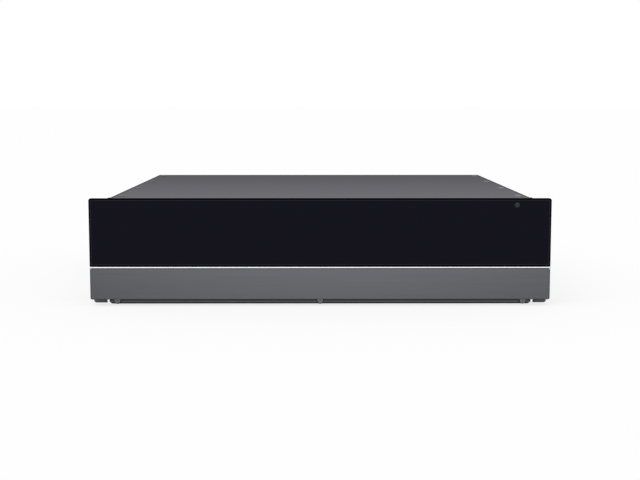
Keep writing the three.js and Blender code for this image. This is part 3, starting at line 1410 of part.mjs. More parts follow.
// The neck of the rocker's frame in the rim, wider by an allowance.
function frameNeck(allowance) {
  const length = ROCKER_RADIUS + GAP + FRAME_WALL + allowance;
  const width = ROCKER_WIDTH / 2 + GAP + FRAME_WALL + allowance;
  return rectangle(ROCKER_X - length, CONTROL_Y - width, ROCKER_X + length, CONTROL_Y + width);
}

function controlFascia() {
  const plate = extrude(
    roundedRectangle(
      FASCIA_RIGHT - FASCIA_WIDTH,
      CONTROL_Y - FASCIA_DEPTH / 2,
      FASCIA_RIGHT,
      CONTROL_Y + FASCIA_DEPTH / 2,
      4,
    ),
    "z",
    RIM_Z + GAP,
    FASCIA_TOP,
  );
  const spindleHole = extrude(disc(KNOB_X, CONTROL_Y, SPINDLE_RADIUS + 1.2), "z", RIM_Z, FASCIA_TOP + 1);
  const switchHole = extrude(frameNeck(GAP), "z", RIM_Z, FASCIA_TOP + 1);
  return cut(plate, spindleHole, switchHole);
}

function thermostatKnob() {
  const low = FASCIA_TOP + KNOB_CLEARANCE;
  const high = low + KNOB_HEIGHT;
  const socket = high - 3;
  const profile = [
    [SPINDLE_RADIUS + GAP, low],
    [KNOB_RADIUS + 1.5, low],
    [KNOB_RADIUS + 1.5, low + 2],
    [KNOB_RADIUS, low + 3],
    [KNOB_RADIUS - 0.8, high - 1.2],
    [KNOB_RADIUS - 2, high],
    [0, high],
    [0, socket],
    [SPINDLE_RADIUS + GAP, socket],
    [SPINDLE_RADIUS + GAP, low],
  ];
  const body = turned(profile, "z", [KNOB_X, CONTROL_Y, 0], 20);
  const flutes = Array.from({ length: KNOB_FLUTES }, (_, i) => {
    const angle = (2 * Math.PI * (i + 0.5)) / KNOB_FLUTES;
    const radius = KNOB_RADIUS + 1.4;
    const hollow = disc(KNOB_X + radius * Math.cos(angle), CONTROL_Y + radius * Math.sin(angle), 2.4, 8);
    return extrude(hollow, "z", low + 3.2, high + 1);
  });
  const mark = extrude(
    rectangle(KNOB_X - 0.6, CONTROL_Y + 4, KNOB_X + 0.6, CONTROL_Y + KNOB_RADIUS - 1),
    "z",
    high - 0.6,
    high + 1,
  );
  return cut(body, flutes, mark);
}

function thermostatSpindle() {
  const low = RIM_UNDER - GAP - THERMOSTAT_HEIGHT + 4;
  const high = FASCIA_TOP + KNOB_CLEARANCE + KNOB_HEIGHT - 3 - GAP;
  return turned(
    [
      [0, low],
      [SPINDLE_RADIUS, low],
      [SPINDLE_RADIUS, high - 1],
      [SPINDLE_RADIUS - 1, high],
      [0, high],
    ],
    "z",
    [KNOB_X, CONTROL_Y, 0],
    14,
  );
}

// The switch body under the rim: a plate, a box and three blades below it.
function thermostatBody() {
  const top = RIM_UNDER - GAP;
  const plate = extrude(
    roundedRectangle(
      KNOB_X - THERMOSTAT_WIDTH / 2,
      CONTROL_Y - THERMOSTAT_DEPTH / 2,
      KNOB_X + THERMOSTAT_WIDTH / 2,
      CONTROL_Y + THERMOSTAT_DEPTH / 2,
      3,
    ),
    "z",
    top - 1.5,
    top,
  );
  const box = extrude(
    roundedRectangle(
      KNOB_X - THERMOSTAT_WIDTH / 2 + 4,
      CONTROL_Y - THERMOSTAT_DEPTH / 2 + 2,
      KNOB_X + THERMOSTAT_WIDTH / 2 - 4,
      CONTROL_Y + THERMOSTAT_DEPTH / 2 - 2,
      2,
    ),
    "z",
    top - THERMOSTAT_HEIGHT,
    top - 1,
  );
  const blades = row(3, 9, (x) =>
    extrude(
      rectangle(KNOB_X + x - 3.1, CONTROL_Y + 6, KNOB_X + x + 3.1, CONTROL_Y + 6.8),
      "z",
      top - THERMOSTAT_HEIGHT - 8,
      top - THERMOSTAT_HEIGHT + 1,
    ),
  );
  const bore = extrude(
    disc(KNOB_X, CONTROL_Y, SPINDLE_RADIUS + GAP, 14),
    "z",
    top - THERMOSTAT_HEIGHT + 3,
    top + 1,
  );
  return cut(join(plate, box, blades), bore);
}

// The rocker: two faces that meet in a shallow valley, with ends struck from the pivot.
function powerRocker() {
  const rise = THREE.MathUtils.radToDeg(Math.asin(ROCKER_RISE / ROCKER_RADIUS));
  const points = [
    new THREE.Vector2(0, ROCKER_DIP),
    ...arc(0, 0, ROCKER_RADIUS, 180 - rise, 180 + ROCKER_SIDE, 4),
    new THREE.Vector2(-ROCKER_RADIUS * 0.5, -ROCKER_DIP * 0.7),
    new THREE.Vector2(ROCKER_RADIUS * 0.5, -ROCKER_DIP * 0.7),
    ...arc(0, 0, ROCKER_RADIUS, -ROCKER_SIDE, rise, 4),
  ];
  const tilt = THREE.MathUtils.degToRad(ROCKER_TILT);
  const placed = points.map((point) => {
    point.rotateAround(new THREE.Vector2(0, 0), tilt);
    return new THREE.Vector2(ROCKER_X + point.x, ROCKER_PIVOT_Z + point.y);
  });
  const half = ROCKER_WIDTH / 2;
  const body = extrude(outline(placed), "y", CONTROL_Y - half, CONTROL_Y + half);
  const pin = extrude(
    disc(ROCKER_X, ROCKER_PIVOT_Z, 1.2, 10),
    "y",
    CONTROL_Y - half - GAP - FRAME_WALL * 0.7,
    CONTROL_Y + half + GAP + FRAME_WALL * 0.7,
  );
  return join(body, pin);
}

function rockerFrame() {
  const neck = extrude(frameNeck(0), "z", FASCIA_TOP - FRAME_DEPTH, FASCIA_TOP + GAP + 0.5);
  const flange = extrude(
    roundedRectangle(
      ROCKER_X - FRAME_FLANGE_LENGTH / 2,
      CONTROL_Y - FRAME_FLANGE_WIDTH / 2,
      ROCKER_X + FRAME_FLANGE_LENGTH / 2,
      CONTROL_Y + FRAME_FLANGE_WIDTH / 2,
      1.5,
    ),
    "z",
    FASCIA_TOP + GAP,
    FASCIA_TOP + GAP + FRAME_FLANGE_HEIGHT,
  );
  const well = extrude(frameNeck(-FRAME_WALL), "z", FASCIA_TOP - FRAME_DEPTH + 2, FASCIA_TOP + 5);
  const pivots = extrude(
    disc(ROCKER_X, ROCKER_PIVOT_Z, 1.2 + GAP, 10),
    "y",
    CONTROL_Y - ROCKER_WIDTH,
    CONTROL_Y + ROCKER_WIDTH,
  );
  const blades = row(2, 10, (x) =>
    extrude(
      rectangle(ROCKER_X + x - 0.4, CONTROL_Y - 3.1, ROCKER_X + x + 0.4, CONTROL_Y + 3.1),
      "z",
      FASCIA_TOP - FRAME_DEPTH - 8,
      FASCIA_TOP - FRAME_DEPTH + 1,
    ),
  );
  return join(cut(join(neck, flange), well, pivots), blades);
}

// ---------------------------------------------------------------------------------------------
// Finishes
// ---------------------------------------------------------------------------------------------

const FINISHES = {
  galvanised: { color: 0x74747a, roughness: 0.5, metalness: 0.8 },
  blackGlass: { color: 0x17161e, roughness: 0.06, metalness: 0 },
  trim: { color: 0xe0dfe4, roughness: 0.25, metalness: 1 },
  darkSteel: { color: 0x696a6f, roughness: 0.38, metalness: 0.9 },
  brightSteel: { color: 0xb9babd, roughness: 0.32, metalness: 1 },
  zinc: { color: 0xa3a5aa, roughness: 0.35, metalness: 1 },
  rubber: { color: 0x0d0d0f, roughness: 0.8, metalness: 0 },
  blackPlastic: { color: 0x1a1a1c, roughness: 0.5, metalness: 0 },
  whitePlastic: { color: 0xd8d5cc, roughness: 0.5, metalness: 0 },
  smokedLens: { color: 0x38373c, roughness: 0.2, metalness: 0 },
  copper: { color: 0xa4562c, roughness: 0.4, metalness: 1 },
  element: { color: 0x4b4038, roughness: 0.55, metalness: 0.8 },
};

function piece(group, name, body, finish) {
  const mesh = body.getMesh();
  const geometry = new THREE.BufferGeometry();
  geometry.setAttribute("position", new THREE.BufferAttribute(mesh.vertProperties, 3));
  geometry.setIndex(new THREE.BufferAttribute(mesh.triVerts, 1));
  geometry.computeVertexNormals();
  const material = new THREE.MeshStandardMaterial({ ...FINISHES[finish], flatShading: true });
  const made = new THREE.Mesh(geometry, material);
  made.name = name;
  group.add(made);
  return made;
}

// The same piece on the right, and mirrored on the left.
function pair(group, name, body, finish) {
  piece(group, name + "_right", body, finish);
  piece(group, name + "_left", body, finish).scale.x = -1;
}

// ---------------------------------------------------------------------------------------------
// Assembly
// ---------------------------------------------------------------------------------------------

const housing = new THREE.Group();
piece(housing, "housing_base", housingBase(), "galvanised");
pair(housing, "housing_side", housingSide(), "galvanised");
piece(housing, "housing_back", housingBack(), "galvanised");
piece(housing, "housing_top", housingTop(), "galvanised");
pair(housing, "corner_buffer", cornerBuffer(), "rubber");
piece(housing, "base_screw_left", baseScrew(-(WEB_OUT - BASE_SCREW_EDGE)), "zinc");
piece(housing, "base_screw_middle", baseScrew(0), "zinc");
piece(housing, "base_screw_right", baseScrew((WEB_OUT - BASE_SCREW_EDGE)), "zinc");
piece(housing, "terminal_box", terminalBox(), "whitePlastic");
piece(housing, "terminal_cover", terminalCover(), "whitePlastic");
piece(housing, "cable_gland", cableGland(), "blackPlastic");
pair(housing, "runner_outer", outerMember(), "zinc");
piece(housing, "latch_body", latchBody(), "blackPlastic");

const latch = new THREE.Group();
piece(latch, "latch_plunger", latchPlunger(), "blackPlastic");

const runners = new THREE.Group();
pair(runners, "runner_middle", middleMember(), "zinc");
pair(runners, "runner_outer_cage", outerCage(), "brightSteel");
pair(runners, "runner_inner_cage", innerCage(), "brightSteel");

const drawer = new THREE.Group();
pair(drawer, "runner_inner", innerMember(), "zinc");
piece(drawer, "front_glass", frontGlass(), "blackGlass");
piece(drawer, "front_trim_strip", frontTrimStrip(), "trim");
piece(drawer, "front_lower_panel", frontLowerPanel(), "darkSteel");
piece(drawer, "front_carrier", frontCarrier(), "galvanised");
piece(drawer, "inner_front_panel", innerFrontPanel(), "brightSteel");
pair(drawer, "front_bracket", frontBracket(), "zinc");
piece(drawer, "indicator_lens", indicatorLens(), "smokedLens");
piece(drawer, "indicator_lamp_body", indicatorLampBody(), "whitePlastic");
piece(drawer, "drawer_basin", drawerBasin(), "brightSteel");
piece(drawer, "anti_slip_mat", antiSlipMat(), "rubber");
piece(drawer, "heater_grille", heaterGrille(), "brightSteel");
piece(drawer, "heater_cover", heaterCover(), "galvanised");
piece(drawer, "heating_element", heatingElement(), "element");
const clipX = GRILLE_WIDTH / 2 - GRILLE_MARGIN + CLIP_OFFSET;
piece(drawer, "element_clip_left", elementClip(-clipX), "zinc");
piece(drawer, "element_clip_right", elementClip(clipX), "zinc");
piece(drawer, "safety_thermostat", safetyThermostat(), "blackPlastic");
piece(drawer, "blower_scroll", blowerScroll(), "galvanised");
piece(drawer, "blower_bearing", blowerBearing(), "rubber");
piece(drawer, "motor_bracket", motorBracket(), "zinc");
piece(drawer, "motor_stator", motorStator(), "darkSteel");
piece(drawer, "motor_coil", motorCoil(), "copper");
piece(drawer, "control_fascia", controlFascia(), "brightSteel");
piece(drawer, "thermostat_body", thermostatBody(), "blackPlastic");
piece(drawer, "rocker_frame", rockerFrame(), "blackPlastic");
piece(drawer, "latch_striker", latchStriker(), "zinc");

const knob = new THREE.Group();
piece(knob, "thermostat_knob", thermostatKnob(), "blackPlastic");
piece(knob, "thermostat_spindle", thermostatSpindle(), "zinc");

const rocker = new THREE.Group();
piece(rocker, "power_rocker", powerRocker(), "blackPlastic");

const wheel = new THREE.Group();
piece(wheel, "blower_wheel", blowerWheel(), "zinc");
piece(wheel, "blower_shaft", blowerShaft(), "brightSteel");
piece(wheel, "motor_rotor", motorRotor(), "darkSteel");

drawer.add(knob, rocker, wheel);

const warmingDrawer = new THREE.Group();
warmingDrawer.name = "warming_drawer";
warmingDrawer.add(housing, latch, runners, drawer);
warmingDrawer.position.y = -(GLASS_FRONT - TRIM_PROUD + REAR_END) / 2;

export default warmingDrawer;
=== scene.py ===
# %% [markdown]
# # A built-in warming drawer
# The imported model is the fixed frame. Every piece made here is in metres, in that frame, and rides
# on one of its bodies, so the drawer, its runners and its controls move as the real ones do.

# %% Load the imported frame
import json
import math

import bmesh
import bpy
from mathutils import Matrix, Vector

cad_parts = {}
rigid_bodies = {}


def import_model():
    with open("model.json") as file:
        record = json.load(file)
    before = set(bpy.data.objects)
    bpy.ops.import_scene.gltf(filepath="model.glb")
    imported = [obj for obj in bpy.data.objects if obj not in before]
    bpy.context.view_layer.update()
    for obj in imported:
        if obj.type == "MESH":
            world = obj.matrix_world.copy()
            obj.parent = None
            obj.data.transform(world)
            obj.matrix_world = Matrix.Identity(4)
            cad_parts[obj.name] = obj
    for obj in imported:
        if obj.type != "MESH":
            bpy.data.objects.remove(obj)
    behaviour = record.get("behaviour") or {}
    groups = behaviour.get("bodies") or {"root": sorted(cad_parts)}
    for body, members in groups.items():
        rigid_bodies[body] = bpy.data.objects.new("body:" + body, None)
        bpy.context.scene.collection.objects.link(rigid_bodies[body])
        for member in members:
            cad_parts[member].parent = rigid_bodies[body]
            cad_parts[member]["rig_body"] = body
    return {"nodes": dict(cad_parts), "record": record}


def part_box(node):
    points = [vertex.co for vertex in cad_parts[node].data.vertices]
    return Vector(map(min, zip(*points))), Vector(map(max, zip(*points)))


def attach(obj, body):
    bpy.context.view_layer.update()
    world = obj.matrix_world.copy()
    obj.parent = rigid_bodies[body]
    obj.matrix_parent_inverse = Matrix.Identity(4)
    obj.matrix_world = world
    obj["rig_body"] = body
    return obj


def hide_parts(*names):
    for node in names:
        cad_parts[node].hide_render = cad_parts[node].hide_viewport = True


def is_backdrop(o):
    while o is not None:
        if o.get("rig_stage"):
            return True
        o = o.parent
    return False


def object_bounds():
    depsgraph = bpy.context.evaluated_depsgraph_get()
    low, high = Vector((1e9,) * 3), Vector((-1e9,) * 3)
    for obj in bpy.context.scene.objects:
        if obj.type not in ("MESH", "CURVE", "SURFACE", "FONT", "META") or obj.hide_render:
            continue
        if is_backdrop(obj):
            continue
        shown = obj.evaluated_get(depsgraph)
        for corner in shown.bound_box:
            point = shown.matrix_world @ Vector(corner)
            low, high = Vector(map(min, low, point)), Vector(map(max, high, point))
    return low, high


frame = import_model()
nodes = frame["nodes"]
cad_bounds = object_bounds()
MM = 0.001

# %% [markdown]
# ## The camera
# The photograph's straight edges were fitted with a pin-hole camera: it stands 1.53 m in front of the
# glass, a hand's width above its top edge and a little left of its middle, and looks down by 6.5
# degrees. Placing it from the frame keeps it right if the front ever moves.

# %% The camera at the photograph's place
FRONT_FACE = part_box("front_glass")[0].y
FRONT_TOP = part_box("front_glass")[1].z
STAND_OFF = 1.534
EYE_ABOVE_TOP = 0.1203
EYE_ASIDE = -6.8 * MM
PITCH = math.radians(6.473)
YAW = math.radians(-0.243)
FOCAL_LENGTH = 67.43
FILM_WIDTH = 36

lens = bpy.data.cameras.new("photo_camera")
lens.lens = FOCAL_LENGTH
lens.sensor_width = FILM_WIDTH
camera = bpy.data.objects.new("photo_camera", lens)
camera.location = (EYE_ASIDE, FRONT_FACE - STAND_OFF, FRONT_TOP + EYE_ABOVE_TOP)
camera.rotation_euler = (math.radians(90) - PITCH, 0, YAW)
bpy.context.scene.collection.objects.link(camera)
bpy.context.scene.camera = camera
bpy.context.scene.view_settings.view_transform = "Standard"
print("camera at", [round(value, 3) for value in camera.location])

# %% [markdown]
# ## Building node trees
# Materials are trees of small nodes. Two helpers keep them readable: one adds a node with its
# settings and its inputs, where an input may be a plain value or another node's output, and one is
# for the sums of a Math node, whose inputs have no names of their own.


# %% Helpers for node trees
def add(tree, kind, inputs=None, **settings):
    node = tree.nodes.new("ShaderNode" + kind)
    for name, value in settings.items():
        setattr(node, name, value)
    for name, value in (inputs or {}).items():
        socket = node.inputs[name]
        if isinstance(value, bpy.types.NodeSocket):
            tree.links.new(value, socket)
        else:
            socket.default_value = value
    return node


def sum_of(tree, operation, *values, clamp=False):
    made = dict(enumerate(values))
    return add(tree, "Math", made, operation=operation, use_clamp=clamp).outputs[0]


# %% [markdown]
# ## The studio
# The photograph has a plain white ground with no corner in it. The world is plain white to the
# camera and in reflections, and softer as a light. Two broad suns from the front left and the front
# right add the rest, so a level surface receives about 1 and a colour renders as it is written. The
# floor shows most of its white by itself to the camera, so the drawer's shadow on it stays faint.

# %% World, suns and floor
AMBIENT = 0.62
SUNS = {"key": (1.2, 52, -32), "fill": (0.42, 38, 40)}
SUN_SPREAD = math.radians(60)
FLOOR_SIZE = 120
FLOOR_BELOW = 0.3 * MM
FLOOR_WHITE = (0.99, 0.99, 0.99, 1)
FLOOR_OWN_LIGHT = 0.75


def seen_directly(tree):
    rays = add(tree, "LightPath")
    seen = sum_of(tree, "MAXIMUM", rays.outputs["Is Camera Ray"], rays.outputs["Is Glossy Ray"])
    return sum_of(tree, "MAXIMUM", seen, rays.outputs["Is Transmission Ray"])


def studio_world():
    world = bpy.data.worlds.new("studio")
    world.use_nodes = True
    tree = world.node_tree
    tree.nodes.clear()
    level = sum_of(tree, "MULTIPLY_ADD", seen_directly(tree), 1 - AMBIENT, AMBIENT)
    light = add(tree, "Background", {"Color": (1, 1, 1, 1), "Strength": level})
    add(tree, "OutputWorld", {"Surface": light.outputs[0]})
    return world


def sun(name, strength, elevation, azimuth):
    lamp = bpy.data.lights.new(name, "SUN")
    lamp.energy = strength
    lamp.angle = SUN_SPREAD
    made = bpy.data.objects.new(name, lamp)
    made.rotation_euler = (math.radians(90 - elevation), 0, math.radians(azimuth))
    bpy.context.scene.collection.objects.link(made)


def studio_floor():
    mesh = bpy.data.meshes.new("floor")
    shell = bmesh.new()
    bmesh.ops.create_grid(shell, x_segments=1, y_segments=1, size=FLOOR_SIZE)
    shell.to_mesh(mesh)
    shell.free()
    mesh.transform(Matrix.Translation((0, 0, -FLOOR_BELOW)))
    floor = bpy.data.objects.new("floor", mesh)
    bpy.context.scene.collection.objects.link(floor)
    paint = bpy.data.materials.new("pale_floor")
    paint.use_nodes = True
    tree = paint.node_tree
    shader = tree.nodes["Principled BSDF"]
    shader.inputs["Base Color"].default_value = FLOOR_WHITE
    shader.inputs["Roughness"].default_value = 1
    shader.inputs["Specular IOR Level"].default_value = 0
    glow = add(tree, "Emission", {"Color": FLOOR_WHITE, "Strength": 1.0})
    share = sum_of(tree, "MULTIPLY", seen_directly(tree), FLOOR_OWN_LIGHT)
    blend = add(tree, "MixShader", {0: share, 1: shader.outputs[0], 2: glow.outputs[0]})
    tree.links.new(blend.outputs[0], tree.nodes["Material Output"].inputs["Surface"])
    mesh.materials.append(paint)
    floor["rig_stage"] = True


bpy.context.scene.world = studio_world()
for name, (strength, elevation, azimuth) in SUNS.items():
    sun(name, strength, elevation, azimuth)
studio_floor()
level_light = AMBIENT + sum(s * math.sin(math.radians(e)) / math.pi for s, e, _ in SUNS.values())
print("light on a level surface:", round(level_light, 2))

# %% [markdown]
# ## Effects that several finishes share
# Grain, edges, handling marks, dust, a drift and a bow of painted shading and a border of painted
# shade are each one node group with named inputs, built once and placed in each material with values
# of its own. A group puts out only a tone, a height, a roughness or a mask, so the shader that uses
# them stays in view in the material.


# %% A helper for node groups
def new_group(name, inputs, outputs):
    tree = bpy.data.node_groups.new(name, "ShaderNodeTree")
    for label, value in inputs.items():
        kind = "NodeSocketVector" if isinstance(value, tuple) else "NodeSocketFloat"
        tree.interface.new_socket(name=label, in_out="INPUT", socket_type=kind).default_value = value
    for label in outputs:
        tree.interface.new_socket(name=label, in_out="OUTPUT", socket_type="NodeSocketFloat")
    return tree, tree.nodes.new("NodeGroupInput").outputs


def group_result(tree, **results):
    end = tree.nodes.new("NodeGroupOutput")
    for label, value in results.items():
        tree.links.new(value, end.inputs[label])
    return tree


def stretched(tree, stretch):
    place = add(tree, "TexCoord").outputs["Object"]
    return add(tree, "VectorMath", {0: place, 1: stretch}, operation="MULTIPLY").outputs[0]


# %% [markdown]
# ### Grain
# Brushed steel is scratched by a belt that runs one way. Noise that is squeezed across the belt and
# drawn out along it gives such lines. The same group with equal stretch gives a moulded grain.


# %% Grain
def grain_group():
    tree, given = new_group(
        "Grain", {"Stretch": (1.0, 1.0, 1.0), "Contrast": 0.1}, ["Tone", "Height"]
    )
    place = stretched(tree, given["Stretch"])
    noise = add(tree, "TexNoise", {"Vector": place, "Scale": 1.0, "Detail": 3.0, "Roughness": 0.6})
    centred = sum_of(tree, "SUBTRACT", noise.outputs[0], 0.5)
    tone = sum_of(tree, "MULTIPLY_ADD", centred, given["Contrast"], 1.0)
    return group_result(tree, Tone=tone, Height=noise.outputs[0])


GRAIN = grain_group()
print("grain group:", len(GRAIN.nodes), "nodes")

# %% [markdown]
# ### Edges
# A coating thins where hands rub it, which is wear, and along a fold a darker line is painted shade.
# Where a rounded-off normal differs from the face's own normal there is an edge. Break mixes noise
# into the mask, from an even line of painted shade along a fold to scattered wear.


# %% Edges
EDGE_NOISE = (900.0, 900.0, 900.0)


def edge_group():
    tree, given = new_group("Edges", {"Radius": 0.4 * MM, "Amount": 1.0, "Break": 1.0}, ["Mask"])
    rounded = add(tree, "Bevel", {"Radius": given["Radius"]}, samples=6).outputs[0]
    flat = add(tree, "NewGeometry").outputs["Normal"]
    agree = add(tree, "VectorMath", {0: rounded, 1: flat}, operation="DOT_PRODUCT").outputs["Value"]
    bend = sum_of(tree, "SUBTRACT", 1.0, agree)
    place = stretched(tree, EDGE_NOISE)
    noise = add(tree, "TexNoise", {"Vector": place, "Scale": 1.0, "Detail": 2.0}).outputs[0]
    lack = sum_of(tree, "SUBTRACT", noise, 1.0)
    broken = sum_of(tree, "MULTIPLY_ADD", lack, given["Break"], 1.0)
    strength = sum_of(tree, "MULTIPLY", broken, given["Amount"])
    return group_result(tree, Mask=sum_of(tree, "MULTIPLY", bend, strength, clamp=True))


EDGES = edge_group()
print("edge group:", len(EDGES.nodes), "nodes")

# %% [markdown]
# ### Handling marks
# A surface that is wiped and touched is never evenly rough. Large soft blotches, a few centimetres
# across, vary the roughness a little round its own value.


# %% Handling marks
def handling_group():
    tree, given = new_group(
        "Handling", {"Roughness": 0.4, "Spread": 0.08, "Size": 18.0}, ["Roughness"]
    )
    place = add(tree, "TexCoord").outputs["Object"]
    noise = add(tree, "TexNoise", {"Vector": place, "Scale": given["Size"], "Detail": 3.0}).outputs[0]
    centred = sum_of(tree, "SUBTRACT", noise, 0.5)
    rough = sum_of(tree, "MULTIPLY_ADD", centred, given["Spread"], given["Roughness"], clamp=True)
    return group_result(tree, Roughness=rough)


HANDLING = handling_group()
print("handling group:", len(HANDLING.nodes), "nodes")

# %% [markdown]
# ### Dust
# A little dust lies on what faces up. The mask is the upward part of the normal, broken by noise.


# %% Dust
DUST_NOISE = (260.0, 260.0, 260.0)


def dust_group():
    tree, given = new_group("Dust", {"Amount": 0.05}, ["Mask"])
    normal = add(tree, "NewGeometry").outputs["Normal"]
    up = add(tree, "SeparateXYZ", {0: normal}).outputs["Z"]
    place = stretched(tree, DUST_NOISE)
    noise = add(tree, "TexNoise", {"Vector": place, "Scale": 1.0, "Detail": 4.0}).outputs[0]
    level = sum_of(tree, "MULTIPLY", sum_of(tree, "MAXIMUM", up, 0.0), noise)
    return group_result(tree, Mask=sum_of(tree, "MULTIPLY", level, given["Amount"], clamp=True))


DUST = dust_group()
print("dust group:", len(DUST.nodes), "nodes")

# %% [markdown]
# ### Painted shading drift
# Light and shade are painted into the tone along a direction. The photograph shows the cover getting
# darker towards its back, the lower panel towards its lower edge and the base's lip towards its top,
# where it goes under the panel into its shade, so the painted shading drifts along a direction.


# %% Painted shading drift
def painted_shading_drift_group():
    given_names = {"Direction": (0.0, 1.0, 0.0), "Start": 0.0, "End": 1.0, "Low": 1.0, "High": 1.0}
    tree, given = new_group("Painted shading drift", given_names, ["Tone"])
    place = add(tree, "TexCoord").outputs["Object"]
    ends = {0: place, 1: given["Direction"]}
    run = add(tree, "VectorMath", ends, operation="DOT_PRODUCT").outputs["Value"]
    ranged = {
        "Value": run,
        "From Min": given["Start"],
        "From Max": given["End"],
        "To Min": given["Low"],
        "To Max": given["High"],
    }
    return group_result(tree, Tone=add(tree, "MapRange", ranged).outputs["Result"])


PAINTED_SHADING_DRIFT = painted_shading_drift_group()
print("drift group:", len(PAINTED_SHADING_DRIFT.nodes), "nodes")

# %% [markdown]
# ### Painted shading bow
# A painted reflection: the brushed panel's colour is lighter at its middle, standing for the middle of
# the room that it throws back more than its sides. Its tone falls off with the square of the distance
# from a line near its middle. On the cover's screws the same group, centred on the right edge, paints
# shade on the left ones, because the photograph hardly shows them.


# %% Painted shading bow
def painted_shading_bow_group():
    tree, given = new_group("Painted shading bow", {"Centre": 0.0, "Half": 1.0, "Depth": 0.1}, ["Tone"])
    place = add(tree, "TexCoord").outputs["Object"]
    across = add(tree, "SeparateXYZ", {0: place}).outputs["X"]
    aside = sum_of(tree, "SUBTRACT", across, given["Centre"])
    share = sum_of(tree, "DIVIDE", aside, given["Half"])
    square = sum_of(tree, "MULTIPLY", share, share)
    loss = sum_of(tree, "MULTIPLY", square, given["Depth"])
    return group_result(tree, Tone=sum_of(tree, "SUBTRACT", 1.0, loss))


PAINTED_SHADING_BOW = painted_shading_bow_group()
print("bow group:", len(PAINTED_SHADING_BOW.nodes), "nodes")

# %% [markdown]
# ### Border
# The photograph shows a thin dark line along the folds of the cover and of the lower panel, and
# along the lower edges of the bright strip and of the base's lip, where the sheet turns away from the
# light. The mask is one within a width of the sides of a box, and a side of the box that should show
# no line is put far away.


# %% Border
FAR = 9.0
BORDER_SOFTNESS = 0.3


def border_group():
    corners = {"Low": (-FAR, -FAR, -FAR), "High": (FAR, FAR, FAR), "Width": 1.0 * MM}
    tree, given = new_group("Border", corners, ["Mask"])
    place = add(tree, "TexCoord").outputs["Object"]
    above = add(tree, "VectorMath", {0: place, 1: given["Low"]}, operation="SUBTRACT").outputs[0]
    below = add(tree, "VectorMath", {0: given["High"], 1: place}, operation="SUBTRACT").outputs[0]
    near = add(tree, "VectorMath", {0: above, 1: below}, operation="MINIMUM").outputs[0]
    parts = add(tree, "SeparateXYZ", {0: near}).outputs
    least = sum_of(tree, "MINIMUM", parts["X"], parts["Y"])
    least = sum_of(tree, "MINIMUM", least, parts["Z"])
    inner = sum_of(tree, "MULTIPLY", given["Width"], 1 - BORDER_SOFTNESS)
    outer = sum_of(tree, "MULTIPLY", given["Width"], 1 + BORDER_SOFTNESS)
    ranged = {"Value": least, "From Min": inner, "From Max": outer, "To Min": 1.0, "To Max": 0.0}
    return group_result(tree, Mask=add(tree, "MapRange", ranged).outputs["Result"])


BORDER = border_group()
print("border group:", len(BORDER.nodes), "nodes")

# %% [markdown]
# ## The finishes
# A material places the groups that it needs and mixes their tones and masks into its colour. One
# helper places a group with its values. The other mixes two colours, by a plain factor or by a mask.


# %% Helpers for the finishes
def placed(tree, group, values):
    node = tree.nodes.new("ShaderNodeGroup")
    node.node_tree = group
    for label, value in values.items():
        node.inputs[label].default_value = value
    return node.outputs


def mixed(tree, factor, below, above, blend_type="MIX"):
    node = add(tree, "Mix", data_type="RGBA", blend_type=blend_type)
    for index, value in ((0, factor), (6, below), (7, above)):
        if isinstance(value, bpy.types.NodeSocket):
            tree.links.new(value, node.inputs[index])
        else:
            node.inputs[index].default_value = value
    return node.outputs[2]


# %% [markdown]
# ### One function for every finish
# A finish is a colour that the grain tones and that the drift and the bow of painted shading lighten
# or darken, with a line along the edges that is painted shade on folds and lighter wear where rubbed,
# a border of painted shade and dust on top, a roughness with handling marks and a fine bump. A second
# box, within, can keep the border to one face, as on the base's front lip. A border is matt and bare
# of metal. What is the same all over, such as the specular level, is set on the shader itself.

# %% One function for every finish
PLAIN_GRAIN = (700.0, 700.0, 700.0)
DUST_COLOUR = (0.45, 0.44, 0.42, 1)
RELIEF = 0.2 * MM


def finish(
    name,
    colour,
    roughness,
    metallic=0.0,
    level=0.5,
    stretch=PLAIN_GRAIN,
    contrast=0.08,
    bump=0.05,
    dust=0.03,
    spread=0.08,
    painted_shading_drift=None,
    painted_shading_bow=None,
    edge=None,
    border=None,
    within=None,
    edge_colour=(0, 0, 0),
):
    made = bpy.data.materials.new(name)
    made.use_nodes = True
    tree = made.node_tree
    shader = tree.nodes["Principled BSDF"]
    shader.inputs["Metallic"].default_value = metallic
    shader.inputs["Specular IOR Level"].default_value = level

    grain = placed(tree, GRAIN, {"Stretch": stretch, "Contrast": contrast})
    paint = mixed(tree, 1.0, (*colour, 1), grain["Tone"], "MULTIPLY")
    # The drift and the bow paint light and shade into the colour.
    if painted_shading_drift:
        paint = mixed(tree, 1.0, paint, placed(tree, PAINTED_SHADING_DRIFT, painted_shading_drift)["Tone"], "MULTIPLY")
    if painted_shading_bow:
        paint = mixed(tree, 1.0, paint, placed(tree, PAINTED_SHADING_BOW, painted_shading_bow)["Tone"], "MULTIPLY")
    if edge:
        # On folds this edge colour is painted shade, on rubbed edges it is wear.
        edge_wear_and_shade = placed(tree, EDGES, edge)["Mask"]
        paint = mixed(tree, edge_wear_and_shade, paint, (*edge_colour, 1))
    rough = placed(tree, HANDLING, {"Roughness": roughness, "Spread": spread})["Roughness"]
    # The border is a line of painted shade.
    if border:
        lined = placed(tree, BORDER, border)["Mask"]
        if within:
            inside = placed(tree, BORDER, within)["Mask"]
            lined = sum_of(tree, "MULTIPLY", lined, inside)
        paint = mixed(tree, lined, paint, (*edge_colour, 1))
        rough = sum_of(tree, "MAXIMUM", rough, lined)
        bare = sum_of(tree, "SUBTRACT", 1.0, lined)
        tree.links.new(sum_of(tree, "MULTIPLY", bare, metallic), shader.inputs["Metallic"])
    if dust:
        dusty = placed(tree, DUST, {"Amount": dust})["Mask"]
        paint = mixed(tree, dusty, paint, DUST_COLOUR)
    tree.links.new(paint, shader.inputs["Base Color"])
    tree.links.new(rough, shader.inputs["Roughness"])
    if bump:
        relief = {"Height": grain["Height"], "Strength": bump, "Distance": RELIEF}
        tree.links.new(add(tree, "Bump", relief).outputs[0], shader.inputs["Normal"])
    return made
